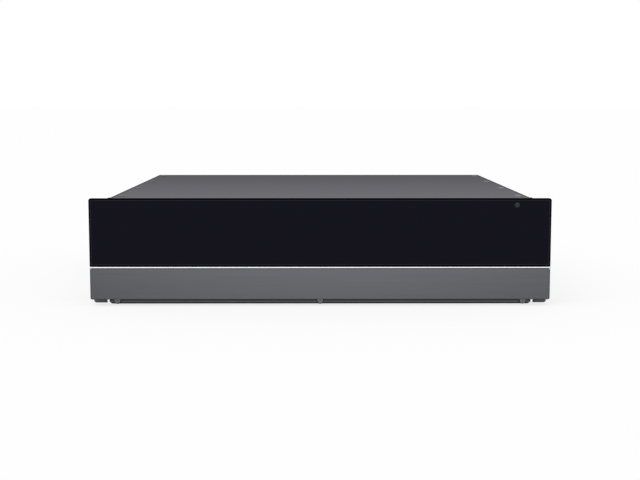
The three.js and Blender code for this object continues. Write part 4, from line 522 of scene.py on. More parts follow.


# %% [markdown]
# ### Coated and brushed sheet
# The housing is folded from steel with a satin grey coating, mostly a matt colour with a weak shine
# and a darker line of painted shade along its folds. Its cover and its base have tones of their own,
# read from the photograph, with painted shading on them: the cover and the housing darker towards the
# back, and the base's lip darker towards its top, where the panel shades it. The lower panel is dark
# steel brushed from side to side, with a painted reflection that makes it lighter at its middle and
# towards its top, and the drawer's inside is bright stainless steel.

# %% Coated and brushed sheet
# Along folds the edge line is painted shade; RUBBED edges are wear.
PAINTED_FOLD_SHADE = {"Radius": 1.1 * MM, "Amount": 3.0, "Break": 0.15}
RUBBED = {"Radius": 0.4 * MM, "Amount": 1.4, "Break": 1.0}
cover_low, cover_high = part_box("housing_top")
base_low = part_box("housing_base")[0]
panel_low, panel_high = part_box("front_lower_panel")
trim_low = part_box("front_trim_strip")[0]
front_to_back = {"Start": cover_low.y, "End": cover_high.y}
up_the_panel = {"Direction": (0.0, 0.0, 1.0), "Start": panel_low.z, "End": panel_high.z}
up_the_lip = {
    "Direction": (0.0, 1.0, 1.0),
    "Start": base_low.y + 1.8 * MM,
    "End": base_low.y + 5.2 * MM,
}
coated = {"stretch": (900.0, 60.0, 900.0), "edge_colour": (0.045, 0.045, 0.05), "edge": PAINTED_FOLD_SHADE}

FINISHES = {}
# Painted shading: darker towards the back, with a line of painted shade along the folds.
FINISHES["galvanised"] = finish(
    "satin_grey_steel",
    (0.13, 0.129, 0.138),
    0.6,
    level=0.08,
    painted_shading_drift={**front_to_back, "Low": 1.12, "High": 0.9},
    **coated,
)
# Painted shading: the cover darker towards its back, and lines of painted shade along its sides.
FINISHES["cover_steel"] = finish(
    "satin_grey_cover_steel",
    (0.1235, 0.1215, 0.1357),
    0.62,
    level=0.0,
    painted_shading_drift={**front_to_back, "Low": 1.285, "High": 0.795},
    border={
        "Low": (cover_low.x + 1.2 * MM, -FAR, -FAR),
        "High": (cover_high.x - 1.2 * MM, cover_high.y, FAR),
        "Width": 1.6 * MM,
    },
    **coated,
)
# Painted shading: the lip lighter low down and darker towards its top, where the panel shades it, with a
# line of painted shade along its lower edge.
FINISHES["base_steel"] = finish(
    "satin_grey_base_steel",
    (0.2, 0.199, 0.209),
    0.62,
    level=0.02,
    painted_shading_drift={**up_the_lip, "Low": 2.05, "High": 0.46},
    border={"Low": (-FAR, -FAR, base_low.z), "Width": 2.15 * MM},
    within={"Low": (-FAR, base_low.y, -FAR), "Width": 1.5 * MM},
    **coated,
)
# Painted light and shade: a painted reflection lighter towards the top and the middle, and lines of
# painted shade along the folds and the edges.
FINISHES["dark_steel"] = finish(
    "dark_brushed_steel",
    (0.135, 0.1388, 0.151),
    0.38,
    metallic=0.85,
    level=0.25,
    stretch=(6.0, 1500.0, 1500.0),
    contrast=0.3,
    bump=0.1,
    dust=0.0,
    edge_colour=(0.04, 0.04, 0.042),
    edge=PAINTED_FOLD_SHADE,
    border={
        "Low": (panel_low.x, -FAR, panel_low.z - 0.4 * MM),
        "High": (panel_high.x, FAR, FAR),
        "Width": 1.3 * MM,
    },
    painted_shading_drift={**up_the_panel, "Low": 0.912, "High": 1.06},
    painted_shading_bow={"Centre": 15 * MM, "Half": panel_high.x, "Depth": 0.17},
)
FINISHES["bright_steel"] = finish(
    "stainless_steel",
    (0.48, 0.48, 0.5),
    0.3,
    metallic=1.0,
    stretch=(8.0, 1100.0, 1100.0),
    contrast=0.16,
    bump=0.08,
    edge_colour=(0.66, 0.66, 0.67),
    edge=RUBBED,
)
print("sheet finishes:", list(FINISHES))

# %% [markdown]
# ### Plated, drawn and stamped metal
# Runners and screws are zinc plated. The trim is a drawn bright strip with a line of painted shade
# along its lower edge. The cover's screws are coated like the cover, with painted shading that makes
# them darker towards the back and on the left, and those in the base's lip are darker. The motor's
# core is a stack of stampings whose edges show as fine lines, its coil is copper under amber tape, and
# the heating element's tube is darkened by heat.

# %% Plated, drawn and stamped metal
FINISHES["zinc_plate"] = finish(
    "zinc_plated_steel",
    (0.5, 0.51, 0.54),
    0.36,
    metallic=1.0,
    contrast=0.16,
    edge_colour=(0.68, 0.68, 0.69),
    edge=RUBBED,
)
# Painted shading: darker towards the back and on the left.
FINISHES["coated_screw"] = finish(
    "coated_screw",
    (0.205, 0.204, 0.215),
    0.5,
    level=0.1,
    contrast=0.1,
    painted_shading_drift={**front_to_back, "Low": 1.2, "High": 0.85},
    painted_shading_bow={"Centre": cover_high.x, "Half": cover_high.x - cover_low.x, "Depth": 0.38},
)
FINISHES["dark_zinc"] = finish(
    "dark_zinc_plated_screw", (0.2, 0.2, 0.21), 0.4, metallic=1.0, contrast=0.2
)
# A line of painted shade along the strip's lower edge.
FINISHES["trim"] = finish(
    "bright_trim",
    (0.88, 0.878, 0.91),
    0.22,
    metallic=1.0,
    stretch=(5.0, 1800.0, 1800.0),
    contrast=0.06,
    bump=0.03,
    dust=0.0,
    edge_colour=(0.1, 0.1, 0.105),
    border={"Low": (-FAR, -FAR, trim_low.z), "Width": 0.75 * MM},
)
FINISHES["lamination"] = finish(
    "stamped_laminations",
    (0.16, 0.155, 0.15),
    0.5,
    metallic=0.8,
    stretch=(2400.0, 40.0, 40.0),
    contrast=0.9,
    bump=0.5,
)
FINISHES["copper"] = finish(
    "taped_coil",
    (0.33, 0.2, 0.06),
    0.45,
    level=0.4,
    stretch=(60.0, 60.0, 1500.0),
    contrast=0.4,
    bump=0.3,
)
FINISHES["element_sheath"] = finish(
    "heating_element_sheath", (0.085, 0.07, 0.06), 0.5, metallic=0.7, contrast=0.5, bump=0.15
)
print("metal finishes:", len(FINISHES))

# %% [markdown]
# ### Glass, plastics and rubber
# The front is a black glass sheet that hardly mirrors the white studio, so its specular level is
# low. Plastics are moulded with a fine grain, and rubber is nearly black and quite matt.

# %% Glass, plastics and rubber
FINISHES["black_glass"] = finish(
    "black_glass",
    (0.0025, 0.0021, 0.0072),
    0.05,
    level=0.07,
    contrast=0.05,
    bump=0.0,
    spread=0.03,
    dust=0.0,
)
# The pane's edges, and a band of painted dark reflection round its front.
FINISHES["glass_edge_and_painted_dark"] = finish(
    "black_glass_edge_and_painted_dark", (0.0004, 0.0003, 0.0012), 0.4, level=0.0, bump=0.0, dust=0.0
)
# A line of painted highlight inside that band.
FINISHES["glass_painted_highlight"] = finish(
    "black_glass_painted_highlight", (0.0125, 0.012, 0.0185), 0.12, level=0.09, bump=0.0, dust=0.0
)
FINISHES["black_plastic"] = finish(
    "black_plastic",
    (0.012, 0.012, 0.013),
    0.46,
    level=0.4,
    stretch=(1600.0, 1600.0, 1600.0),
    bump=0.12,
)
FINISHES["white_plastic"] = finish(
    "white_plastic", (0.68, 0.66, 0.61), 0.48, level=0.4, contrast=0.04, bump=0.05
)
FINISHES["white_ink"] = finish("white_ink", (0.8, 0.8, 0.79), 0.6, level=0.2, contrast=0.05)
FINISHES["rubber"] = finish(
    "black_rubber", (0.004, 0.004, 0.0045), 0.8, level=0.1, bump=0.2, dust=0.0
)
FINISHES["smoked_lens"] = finish(
    "smoked_lens", (0.022, 0.0215, 0.027), 0.2, level=0.2, contrast=0.04, bump=0.0, dust=0.0
)
print("finishes:", len(FINISHES))

# %% [markdown]
# ### The mat's studded rubber
# The anti-slip mat carries rows of small studs, 6 mm apart. There are thousands of them, so they are
# a bump of round dots on the mat's own surface and not geometry. The top and the foot of a stud are
# distances from its middle, as shares of the pitch.


# %% The mat's studded rubber
STUD_PITCH = 6 * MM
STUD_TOP = 0.18
STUD_FOOT = 0.32
STUD_HEIGHT = 0.6 * MM


def studded(material):
    tree = material.node_tree
    shader = tree.nodes["Principled BSDF"]
    place = add(tree, "TexCoord").outputs["Object"]
    dots = {"Vector": place, "Scale": 1 / STUD_PITCH, "Randomness": 0.0}
    away = add(tree, "TexVoronoi", dots, voronoi_dimensions="2D").outputs["Distance"]
    ranged = {"Value": away, "From Min": STUD_TOP, "From Max": STUD_FOOT}
    sunk = add(tree, "MapRange", ranged, interpolation_type="SMOOTHSTEP").outputs["Result"]
    raised = sum_of(tree, "SUBTRACT", 1.0, sunk)
    fine = shader.inputs["Normal"].links[0].from_socket
    relief = {"Height": raised, "Strength": 1.0, "Distance": STUD_HEIGHT, "Normal": fine}
    tree.links.new(add(tree, "Bump", relief).outputs[0], shader.inputs["Normal"])
    return material


FINISHES["mat_rubber"] = studded(
    finish("studded_rubber", (0.016, 0.016, 0.018), 0.7, level=0.25, bump=0.2, dust=0.05)
)
print("finishes with the mat's:", len(FINISHES))

# %% [markdown]
# ## Making pieces
# A folded sheet's edges are never knife sharp, and a thin line of light along each edge is what makes
# sheet metal look real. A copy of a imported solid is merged, its flat faces are joined, and a narrow
# bevel on its sharp edges catches the light. Weighted normals then keep the large faces flat, so that
# the shading turns only in the bends. The solid stays as the piece that collides.


# %% Helpers for pieces
NODE_SLOTS = {part["node"]: part["material_slot"] for part in frame["record"]["subparts"]}
OWN_FINISHES = {"housing_top": "cover_steel", "housing_base": "base_steel"}
SHARP = math.radians(32)
FLAT = math.radians(0.6)
MERGED = 0.002 * MM


def shaded(mesh):
    mesh.shade_smooth()
    mesh.set_sharp_from_angle(angle=SHARP)


def edge_rounding(piece, width):
    edge = piece.modifiers.new("edge", "BEVEL")
    edge.width = width
    edge.segments = 2
    edge.limit_method = "ANGLE"
    edge.angle_limit = SHARP
    edge.harden_normals = True
    flatter = piece.modifiers.new("flatter", "WEIGHTED_NORMAL")
    flatter.mode = "FACE_AREA"
    flatter.keep_sharp = True


def as_object(name, shell):
    mesh = bpy.data.meshes.new(name)
    shell.to_mesh(mesh)
    shell.free()
    shaded(mesh)
    made = bpy.data.objects.new(name, mesh)
    bpy.context.scene.collection.objects.link(made)
    return made


def settled(piece, body, slot, replaces=(), finish_name=None):
    if not piece.data.materials:
        piece.data.materials.append(FINISHES[finish_name or slot])
    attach(piece, body)
    if replaces:
        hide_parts(*replaces)


def refined(node, bevel):
    shell = bmesh.new()
    shell.from_mesh(nodes[node].data)
    bmesh.ops.remove_doubles(shell, verts=shell.verts, dist=MERGED)
    bmesh.ops.dissolve_limit(shell, angle_limit=FLAT, verts=shell.verts, edges=shell.edges)
    piece = as_object(node + "_finished", shell)
    edge_rounding(piece, bevel)
    look = OWN_FINISHES.get(node, NODE_SLOTS[node])
    settled(piece, nodes[node]["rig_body"], NODE_SLOTS[node], [node], look)


for node, slot in NODE_SLOTS.items():
    nodes[node].data.materials.clear()
    nodes[node].data.materials.append(FINISHES[slot])
print("nodes with a finish:", len(NODE_SLOTS))

# %% [markdown]
# ## Folded, stamped and moulded parts
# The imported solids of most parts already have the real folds, holes and slots, so each gets a merged
# copy with its edges rounded. Thin sheets take a narrow edge, thick or moulded parts a wider one.
# The widths are in millimetres.

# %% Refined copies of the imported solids
EDGES_BY_SLOT = {
    "galvanised": 0.2,
    "bright_steel": 0.2,
    "zinc_plate": 0.2,
    "element_sheath": 0.2,
    "lamination": 0.25,
    "dark_steel": 0.3,
    "black_plastic": 0.35,
    "white_plastic": 0.35,
    "rubber": 0.4,
    "copper": 0.8,
    "trim": 0.1,
}
THIN_EDGES = {"blower_wheel": 0.1, "blower_scroll": 0.15, "indicator_lamp_body": 0.25}
OWN_PIECES = {
    "front_glass",
    "indicator_lens",
    "drawer_basin",
    "anti_slip_mat",
    "thermostat_knob",
    "cable_gland",
    "base_screw_left",
    "base_screw_middle",
    "base_screw_right",
}
copied = [node for node in NODE_SLOTS if node not in OWN_PIECES]
for node in copied:
    refined(node, THIN_EDGES.get(node, EDGES_BY_SLOT[NODE_SLOTS[node]]) * MM)
print("refined parts:", len(copied))

# %% [markdown]
# ## Cutting and turning
# Most of the other parts are blocks with rounded edges, turned parts, or blocks with holes. A block
# starts as a cube, its chosen edges are bevelled, a turned part is a half section spun round its
# axis, and a hole is cut by a Boolean whose result is kept as the mesh.


# %% Helpers for blocks, turned parts and holes
FACING = 0.9
ALONG = 0.999
WELDED = 0.001 * MM
HAIR = 0.01 * MM


def block(low, high):
    shell = bmesh.new()
    bmesh.ops.create_cube(shell, size=1)
    bmesh.ops.scale(shell, vec=Vector(high) - Vector(low), verts=shell.verts)
    bmesh.ops.translate(shell, vec=(Vector(low) + Vector(high)) / 2, verts=shell.verts)
    return shell


def rounded(shell, edges, radius, segments):
    bmesh.ops.bevel(
        shell,
        geom=edges,
        offset=radius,
        segments=segments,
        profile=0.5,
        affect="EDGES",
        material=-1,
    )


def faces_towards(shell, direction):
    return [face for face in shell.faces if face.normal.dot(Vector(direction)) > FACING]


def runs_along(edge, axis):
    span = edge.verts[0].co - edge.verts[1].co
    return abs(span[axis]) > ALONG * span.length


def aimed(shell, centre, axis):
    turn = Vector((0, 0, 1)).rotation_difference(Vector(axis)).to_matrix()
    bmesh.ops.rotate(shell, matrix=turn, verts=shell.verts)
    bmesh.ops.translate(shell, vec=centre, verts=shell.verts)
    return shell


def bar(centre, radius, length, axis, sides=48):
    shell = bmesh.new()
    sizes = {"radius1": radius, "radius2": radius, "depth": length}
    bmesh.ops.create_cone(shell, cap_ends=True, segments=sides, **sizes)
    return aimed(shell, centre, axis)


def turned(profile, centre, axis, steps=48):
    shell = bmesh.new()
    points = [shell.verts.new((radius, 0, height)) for radius, height in profile]
    edges = [shell.edges.new(pair) for pair in zip(points, points[1:])]
    bmesh.ops.spin(
        shell,
        geom=[*points, *edges],
        axis=(0, 0, 1),
        cent=(0, 0, 0),
        angle=math.tau,
        steps=steps,
        use_merge=True,
    )
    bmesh.ops.remove_doubles(shell, verts=shell.verts, dist=WELDED)
    bmesh.ops.recalc_face_normals(shell, faces=shell.faces)
    return aimed(shell, centre, axis)


def joined(shells):
    whole = bmesh.new()
    for shell in shells:
        mesh = bpy.data.meshes.new("part")
        shell.to_mesh(mesh)
        shell.free()
        whole.from_mesh(mesh)
        bpy.data.meshes.remove(mesh)
    return whole


def cut_out(piece, *cutters):
    for shell in cutters:
        cutter = as_object("cutter", shell)
        knife = piece.modifiers.new("knife", "BOOLEAN")
        knife.object = cutter
        knife.solver = "EXACT"
        bpy.context.view_layer.update()
        shape = piece.evaluated_get(bpy.context.evaluated_depsgraph_get())
        result = bpy.data.meshes.new_from_object(shape)
        piece.modifiers.clear()
        piece.data = result
        bpy.data.objects.remove(cutter)
    shaded(piece.data)


# %% [markdown]
# ## The front glass
# The pane is 4 mm black glass with its two upper corners rounded and a small hole for the indicator
# lens. In the photograph a nearly black line runs all round it, with a faint lighter line inside it.
# They are a band of painted dark reflection and a line of painted highlight, made by two narrow
# insets of the front face.

# %% The front glass
GLASS_CORNER = 3 * MM
GLASS_EDGE = 0.35 * MM
PAINTED_DARK_BAND = 1.9 * MM
PAINTED_HIGHLIGHT_BAND = 1 * MM
LENS_GAP = 0.3 * MM
THROUGH_GLASS = 20 * MM

pane_low, pane_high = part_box("front_glass")
lens_low, lens_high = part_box("indicator_lens")
lens_centre = (lens_low + lens_high) / 2
lens_radius = (lens_high.x - lens_low.x) / 2

shell = block(pane_low, pane_high)
near_top = pane_high.z - GLASS_CORNER
corners = [edge for edge in shell.edges if runs_along(edge, 1) and edge.verts[0].co.z > near_top]
rounded(shell, corners, GLASS_CORNER, segments=8)
front = faces_towards(shell, (0, -1, 0))
# The outer inset band is a painted dark reflection, the inner one a painted highlight.
ring = bmesh.ops.inset_region(shell, faces=front, thickness=PAINTED_DARK_BAND, use_even_offset=True)["faces"]
line = bmesh.ops.inset_region(shell, faces=front, thickness=PAINTED_HIGHLIGHT_BAND, use_even_offset=True)["faces"]
for found in shell.faces:
    found.material_index = 1 if abs(found.normal.y) < FACING or found in ring else 0
for found in line:
    found.material_index = 2
pane = as_object("front_glass_pane", shell)
for name in ("black_glass", "glass_edge_and_painted_dark", "glass_painted_highlight"):
    pane.data.materials.append(FINISHES[name])
cut_out(pane, bar(lens_centre, lens_radius + LENS_GAP, THROUGH_GLASS, (0, 1, 0)))
edge_rounding(pane, GLASS_EDGE)
settled(pane, "drawer", "black_glass", ["front_glass"])
print("pane faces:", len(pane.data.polygons))

# %% [markdown]
# ## The indicator lens
# The smoked lens is a small cap whose face is slightly domed. Its half section is a short line of
# points with a quarter of an ellipse at its front, spun round the lens's own axis.


# %% The indicator lens
def dome(radius, base, rise, count=6):
    angles = [math.pi / 2 * step / count for step in range(count + 1)]
    return [(radius * math.cos(angle), base + rise * math.sin(angle)) for angle in angles]


LENS_RISE = 0.7 * MM
lens_depth = lens_high.y - lens_low.y
profile = [(0, 0), (lens_radius, 0), *dome(lens_radius, lens_depth - LENS_RISE, LENS_RISE)]
seat = (lens_centre.x, lens_high.y, lens_centre.z)
cap = as_object("indicator_lens_dome", turned(profile, seat, (0, -1, 0)))
settled(cap, "drawer", "smoked_lens", ["indicator_lens"])
print("lens radius in mm:", round(lens_radius / MM, 1))

# %% [markdown]
# ## The drawn basin
# The basin is pressed from one stainless sheet: a tray with rounded corners, a level rim and a skirt
# that hangs down outside. Two boxes give the walls, their edges are bevelled to the drawing radii,
# and a bridge between the two open rims makes the level part. Solidify then gives the sheet its
# thickness, downwards and inwards.

# %% The drawn basin
SHEET = 1 * MM
MAT_TO_WALL = 15 * MM
MAT_CLEARANCE = 0.3 * MM
TRAY_CORNER = 25 * MM
TRAY_BEND = 12 * MM
RIM_BEND = 3 * MM
SKIRT_CORNER = 6 * MM
SKIRT_BEND = 2.5 * MM
SKIRT_BOTTOM = 36 * MM
CORNER_STEPS = 10
BEND_STEPS = 6
RIM_STEPS = 4
FOLDED = math.radians(60)

skirt_low, skirt_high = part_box("drawer_basin")
mat_low, mat_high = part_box("anti_slip_mat")
tray_low = Vector((mat_low.x - MAT_TO_WALL, mat_low.y - MAT_TO_WALL, mat_low.z - MAT_CLEARANCE))
tray_high = Vector((mat_high.x + MAT_TO_WALL, mat_high.y + MAT_TO_WALL, skirt_high.z))


def open_walls(low, high, corner, closed_bottom):
    shell = block(low, high)
    drop = faces_towards(shell, (0, 0, 1))
    if not closed_bottom:
        drop += faces_towards(shell, (0, 0, -1))
    bmesh.ops.delete(shell, geom=drop, context="FACES_ONLY")
    upright = [edge for edge in shell.edges if runs_along(edge, 2)]
    rounded(shell, upright, corner, CORNER_STEPS)
    return shell


tray = open_walls(tray_low, tray_high, TRAY_CORNER, True)
floor_level = tray_low.z + HAIR
at_floor = [edge for edge in tray.edges if all(vert.co.z < floor_level for vert in edge.verts)]
rounded(tray, at_floor, TRAY_BEND, BEND_STEPS)
bmesh.ops.reverse_faces(tray, faces=tray.faces)
skirt_base = Vector((skirt_low.x, skirt_low.y, SKIRT_BOTTOM))
skirt = open_walls(skirt_base, skirt_high, SKIRT_CORNER, False)
shell = joined([tray, skirt])


def rim_edges(shell):
    level = skirt_high.z - HAIR
    return [edge for edge in shell.edges if all(vert.co.z > level for vert in edge.verts)]


def at_tray(edge):
    middle = (edge.verts[0].co + edge.verts[1].co) / 2
    return abs(middle.x) < tray_high.x + SHEET and tray_low.y - SHEET < middle.y < tray_high.y + SHEET


bmesh.ops.bridge_loops(shell, edges=rim_edges(shell))
bends = [edge for edge in rim_edges(shell) if edge.calc_face_angle() > FOLDED]
tray_bend = [edge for edge in bends if at_tray(edge)]
skirt_bend = [edge for edge in bends if not at_tray(edge)]
rounded(shell, tray_bend, RIM_BEND, RIM_STEPS)
rounded(shell, skirt_bend, SKIRT_BEND, RIM_STEPS)
basin = as_object("drawn_basin", shell)
wall = basin.modifiers.new("sheet", "SOLIDIFY")
wall.thickness = SHEET
wall.offset = -1
wall.use_even_offset = True
print("basin faces:", len(basin.data.polygons))

# %% [markdown]
# The sheet is pierced where the warm air comes in at the back, and where the thermostat's spindle
# and the rocker switch pass through the rim. The holes are cut last, through the sheet's finished
# thickness, so the bends don't have to be built round them.

# %% Holes in the basin
knob_low, knob_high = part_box("thermostat_knob")
knob_centre = (knob_low + knob_high) / 2
frame_low, frame_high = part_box("rocker_frame")
grille_low, grille_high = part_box("heater_grille")
COLLAR_MARGIN = 4.7 * MM
AIR_WAY_CORNER = 4.3 * MM
SPINDLE_HOLE = 4.2 * MM
SPINDLE_HOLE_DEPTH = 20 * MM
NECK_INSET = Vector((1.7, 1.2, 0)) * MM
CUT_PAST = 5 * MM

margin = Vector((COLLAR_MARGIN, 0, COLLAR_MARGIN))
air_low = Vector((grille_low.x, tray_high.y - CUT_PAST, grille_low.z)) + margin
air_high = Vector((grille_high.x, skirt_high.y + CUT_PAST, grille_high.z)) - margin
air_way = block(air_low, air_high)
lengthways = [edge for edge in air_way.edges if runs_along(edge, 1)]
rounded(air_way, lengthways, AIR_WAY_CORNER, segments=4)
hole_centre = knob_centre - Vector((0, 0, SPINDLE_HOLE_DEPTH / 2))
spindle_hole = bar(hole_centre, SPINDLE_HOLE, SPINDLE_HOLE_DEPTH, (0, 0, 1))
switch_hole = block(frame_low + NECK_INSET, frame_high - NECK_INSET)
cut_out(basin, air_way, spindle_hole, switch_hole)
settled(basin, "drawer", "bright_steel", ["drawer_basin"])
print("basin faces with holes:", len(basin.data.polygons))

# %% [markdown]
# ## The anti-slip mat
# A thin rubber sheet with rounded corners lies on the basin's floor. A block with its four upright
# edges bevelled is enough, because the studs are in its finish, and its other edges are softened.

# %% The anti-slip mat
MAT_CORNER = 22 * MM
MAT_EDGE = 0.5 * MM

shell = block(mat_low, mat_high)
upright = [edge for edge in shell.edges if runs_along(edge, 2)]
rounded(shell, upright, MAT_CORNER, segments=12)
mat = as_object("anti_slip_mat_sheet", shell)
edge_rounding(mat, MAT_EDGE)
settled(mat, "drawer", "rubber", ["anti_slip_mat"], "mat_rubber")
print("mat faces:", len(mat.data.polygons))

# %% [markdown]
# ## The thermostat knob
# The knob is turned with a flange at its foot, a slightly sunk face and a round hole for the spindle.
# A cylinder could be cut to that form in several steps, but one half section that is spun round the
# spindle's axis gives the flange, the shoulders and the hole at once.

# %% The thermostat knob
FLUTES = 10
KNOB_FLANGE = (knob_high.x - knob_low.x) / 2
KNOB_RADIUS = KNOB_FLANGE - 1.5 * MM
KNOB_EDGE = 0.2 * MM
BORE = 3.3 * MM
BORE_ROOF = 3 * MM
knob_height = knob_high.z - knob_low.z

profile = [
    (BORE, 0),
    (KNOB_FLANGE - 0.3 * MM, 0),
    (KNOB_FLANGE, 0.3 * MM),
    (KNOB_FLANGE, 1.6 * MM),
    (KNOB_FLANGE - 0.4 * MM, 2 * MM),
    (KNOB_RADIUS + 0.4 * MM, 2.4 * MM),
    (KNOB_RADIUS, 3 * MM),
    (KNOB_RADIUS - 0.7 * MM, knob_height - 1.8 * MM),
    (KNOB_RADIUS - 1 * MM, knob_height - 0.9 * MM),
    (KNOB_RADIUS - 1.9 * MM, knob_height - 0.25 * MM),
    (KNOB_RADIUS - 3.4 * MM, knob_height),
    (0, knob_height - 0.2 * MM),
    (0, knob_height - BORE_ROOF),
    (BORE, knob_height - BORE_ROOF),
    (BORE, 0),
]
foot = Vector((knob_centre.x, knob_centre.y, knob_low.z))
knob = as_object("knob_grip", turned(profile, foot, (0, 0, 1), steps=80))
print("knob height in mm:", round(knob_height / MM, 1))

# %% [markdown]
# Ten finger grooves are cut into the knob's side by upright bars that stand round it. A slot for the
# pointer is cut into its face, and a white inlay fills the slot to just below the face.

# %% The knob's grooves and pointer
FLUTE_RADIUS = 2.4 * MM
FLUTE_ASIDE = KNOB_RADIUS + 1.4 * MM
FLUTE_FOOT = 3.2 * MM
FLUTE_LENGTH = 20 * MM
POINTER_WIDTH = 1.2 * MM
POINTER_START = 5 * MM
POINTER_END = KNOB_RADIUS - 1.5 * MM
POINTER_DEPTH = 0.7 * MM
POINTER_SUNK = 0.2 * MM
POINTER_LIFT = 0.06 * MM
SLOT_ABOVE = 1 * MM

flutes = []
for index in range(FLUTES):
    angle = math.tau * (index + 0.5) / FLUTES
    aside = Vector((math.cos(angle), math.sin(angle), 0)) * FLUTE_ASIDE
    middle = foot + aside + Vector((0, 0, FLUTE_FOOT + FLUTE_LENGTH / 2))
    flutes.append(bar(middle, FLUTE_RADIUS, FLUTE_LENGTH, (0, 0, 1), sides=24))
slot_low = foot + Vector((-POINTER_WIDTH / 2, POINTER_START, knob_height - POINTER_DEPTH))
slot_high = foot + Vector((POINTER_WIDTH / 2, POINTER_END, knob_height + SLOT_ABOVE))
cut_out(knob, joined(flutes), block(slot_low, slot_high))
edge_rounding(knob, KNOB_EDGE)
settled(knob, "thermostat_knob", "black_plastic", ["thermostat_knob"])
lift = Vector((0, 0, POINTER_LIFT))
lower = Vector((0, 0, SLOT_ABOVE + POINTER_SUNK))
inlay = as_object("knob_pointer", block(slot_low + lift, slot_high - lower))
settled(inlay, "thermostat_knob", "white_plastic", finish_name="white_ink")
print("knob faces:", len(knob.data.polygons))

# %% [markdown]
# ## The dial
# Generic numbers stand round the knob for the temperature in degrees, with a dot at off. Their
# places are in millimetres from the knob's axis. A picture of the print would blur from close by, so
# a number is a very thin text object, made a mesh before it is put in place.

# %% The dial
fascia_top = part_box("control_fascia")[1].z
INK = 0.06 * MM
DIAL = {"30": (16.8, 12), "50": (20.2, 0), "70": (16.8, -12), "80": (-20.2, -12)}
DIAL_SIZE = 3.6 * MM
DIAL_OFF = (-20.2, 12)
DOT_RADIUS = 0.9 * MM


def printed(name, words, size, place, body):
    text = bpy.data.curves.new(name, "FONT")
    text.body = words
    text.size = size
    text.extrude = INK
    text.align_x = "CENTER"
    text.align_y = "CENTER"
    text.resolution_u = 4
    typed = bpy.data.objects.new(name, text)
    bpy.context.scene.collection.objects.link(typed)
    bpy.context.view_layer.update()
    mesh = bpy.data.meshes.new_from_object(typed)
    bpy.data.objects.remove(typed)
    mesh.transform(Matrix.Translation(place))
    mesh.materials.clear()
    made = bpy.data.objects.new(name, mesh)
    bpy.context.scene.collection.objects.link(made)
    settled(made, body, "white_plastic", finish_name="black_plastic")


def on_dial(x, y):
    return Vector((knob_centre.x + x * MM, knob_centre.y + y * MM, fascia_top + INK))


for number, spot in DIAL.items():
    printed("dial_number_" + number, number, DIAL_SIZE, on_dial(*spot), "drawer")
dot = bar(on_dial(*DIAL_OFF), DOT_RADIUS, 2 * INK, (0, 0, 1), sides=24)
off_dot = as_object("dial_off_dot", dot)
settled(off_dot, "drawer", "white_plastic", finish_name="black_plastic")
print("dial numbers:", len(DIAL))

# %% [markdown]
# ## The rocker switch
# The rocker's two faces meet in a shallow valley, and one is down while the other stands up. The
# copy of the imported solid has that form, so only the usual bar and ring for on and off are laid on
# its two faces, each turned to the slope of its face.

# %% The rocker switch
PIVOT_DEPTH = 3 * MM
ROCKER_TILT = math.radians(7)
FACE_DIP = 6 * MM
FACE_RISE = 8.8 * MM
FACE_END = 7.4 * MM
MARK_PLACE = 0.52
MARK = 0.12 * MM
RING_INNER = 1.1 * MM
RING_OUTER = 1.55 * MM
BAR_HALF = Vector((0.3 * MM, 1.6 * MM, MARK))

frame_centre = (frame_low + frame_high) / 2
pivot = Vector((frame_centre.x, frame_centre.y, fascia_top - PIVOT_DEPTH))
slope = math.atan2(FACE_RISE - FACE_DIP, FACE_END)


def on_rocker(shell, name, side):
    piece = as_object(name, shell)
    rise = FACE_DIP + (FACE_RISE - FACE_DIP) * MARK_PLACE
    middle = Vector((side * FACE_END * MARK_PLACE, 0, rise))
    lean = Matrix.Rotation(-side * slope, 4, "Y")
    tilt = Matrix.Rotation(-ROCKER_TILT, 4, "Y")
    piece.data.transform(Matrix.Translation(pivot) @ tilt @ Matrix.Translation(middle) @ lean)
    settled(piece, "power_rocker", "black_plastic", finish_name="white_ink")


ring_profile = [
    (RING_INNER, -MARK),
    (RING_OUTER, -MARK),
    (RING_OUTER, MARK),
    (RING_INNER, MARK),
    (RING_INNER, -MARK),
]
on_rocker(turned(ring_profile, (0, 0, 0), (0, 0, 1), steps=32), "rocker_ring_mark", 1)
on_rocker(block(-BAR_HALF, BAR_HALF), "rocker_bar_mark", -1)
print("rocker pivot:", [round(value / MM, 1) for value in pivot])

# %% [markdown]
# ## The cable gland
# The mains lead would leave through a moulded gland in the back. It is a turned part: a flange
# against the sheet, a neck that tapers a little and an open bore. One spun section gives all three,
# and the short end inside the housing as well.

# %% The cable gland
gland_low, gland_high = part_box("cable_gland")
gland_centre = (gland_low + gland_high) / 2
GLAND_FLANGE = (gland_high.z - gland_low.z) / 2
GLAND_NECK = 7.5 * MM
GLAND_BORE = 4 * MM
back_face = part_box("housing_back")[1].y
reach = gland_high.y - back_face

profile = [
    (GLAND_BORE, gland_low.y - back_face),
    (GLAND_NECK, gland_low.y - back_face),
    (GLAND_NECK, 0.3 * MM),
    (GLAND_FLANGE - 0.4 * MM, 0.3 * MM),
    (GLAND_FLANGE, 0.7 * MM),
    (GLAND_FLANGE, 1.6 * MM),
    (GLAND_FLANGE - 0.6 * MM, 2.2 * MM),
    (GLAND_NECK, 2.4 * MM),
    (GLAND_NECK - 0.6 * MM, reach - 0.6 * MM),
    (GLAND_NECK - 1.2 * MM, reach),
    (GLAND_BORE + 0.5 * MM, reach),
    (GLAND_BORE, reach - 0.5 * MM),
    (GLAND_BORE, gland_low.y - back_face),
]
seat = (gland_centre.x, back_face, gland_centre.z)
gland = as_object("mains_inlet_gland", turned(profile, seat, (0, 1, 0)))
settled(gland, "housing", "black_plastic", ["cable_gland"])
print("gland reach in mm:", round(reach / MM, 1))

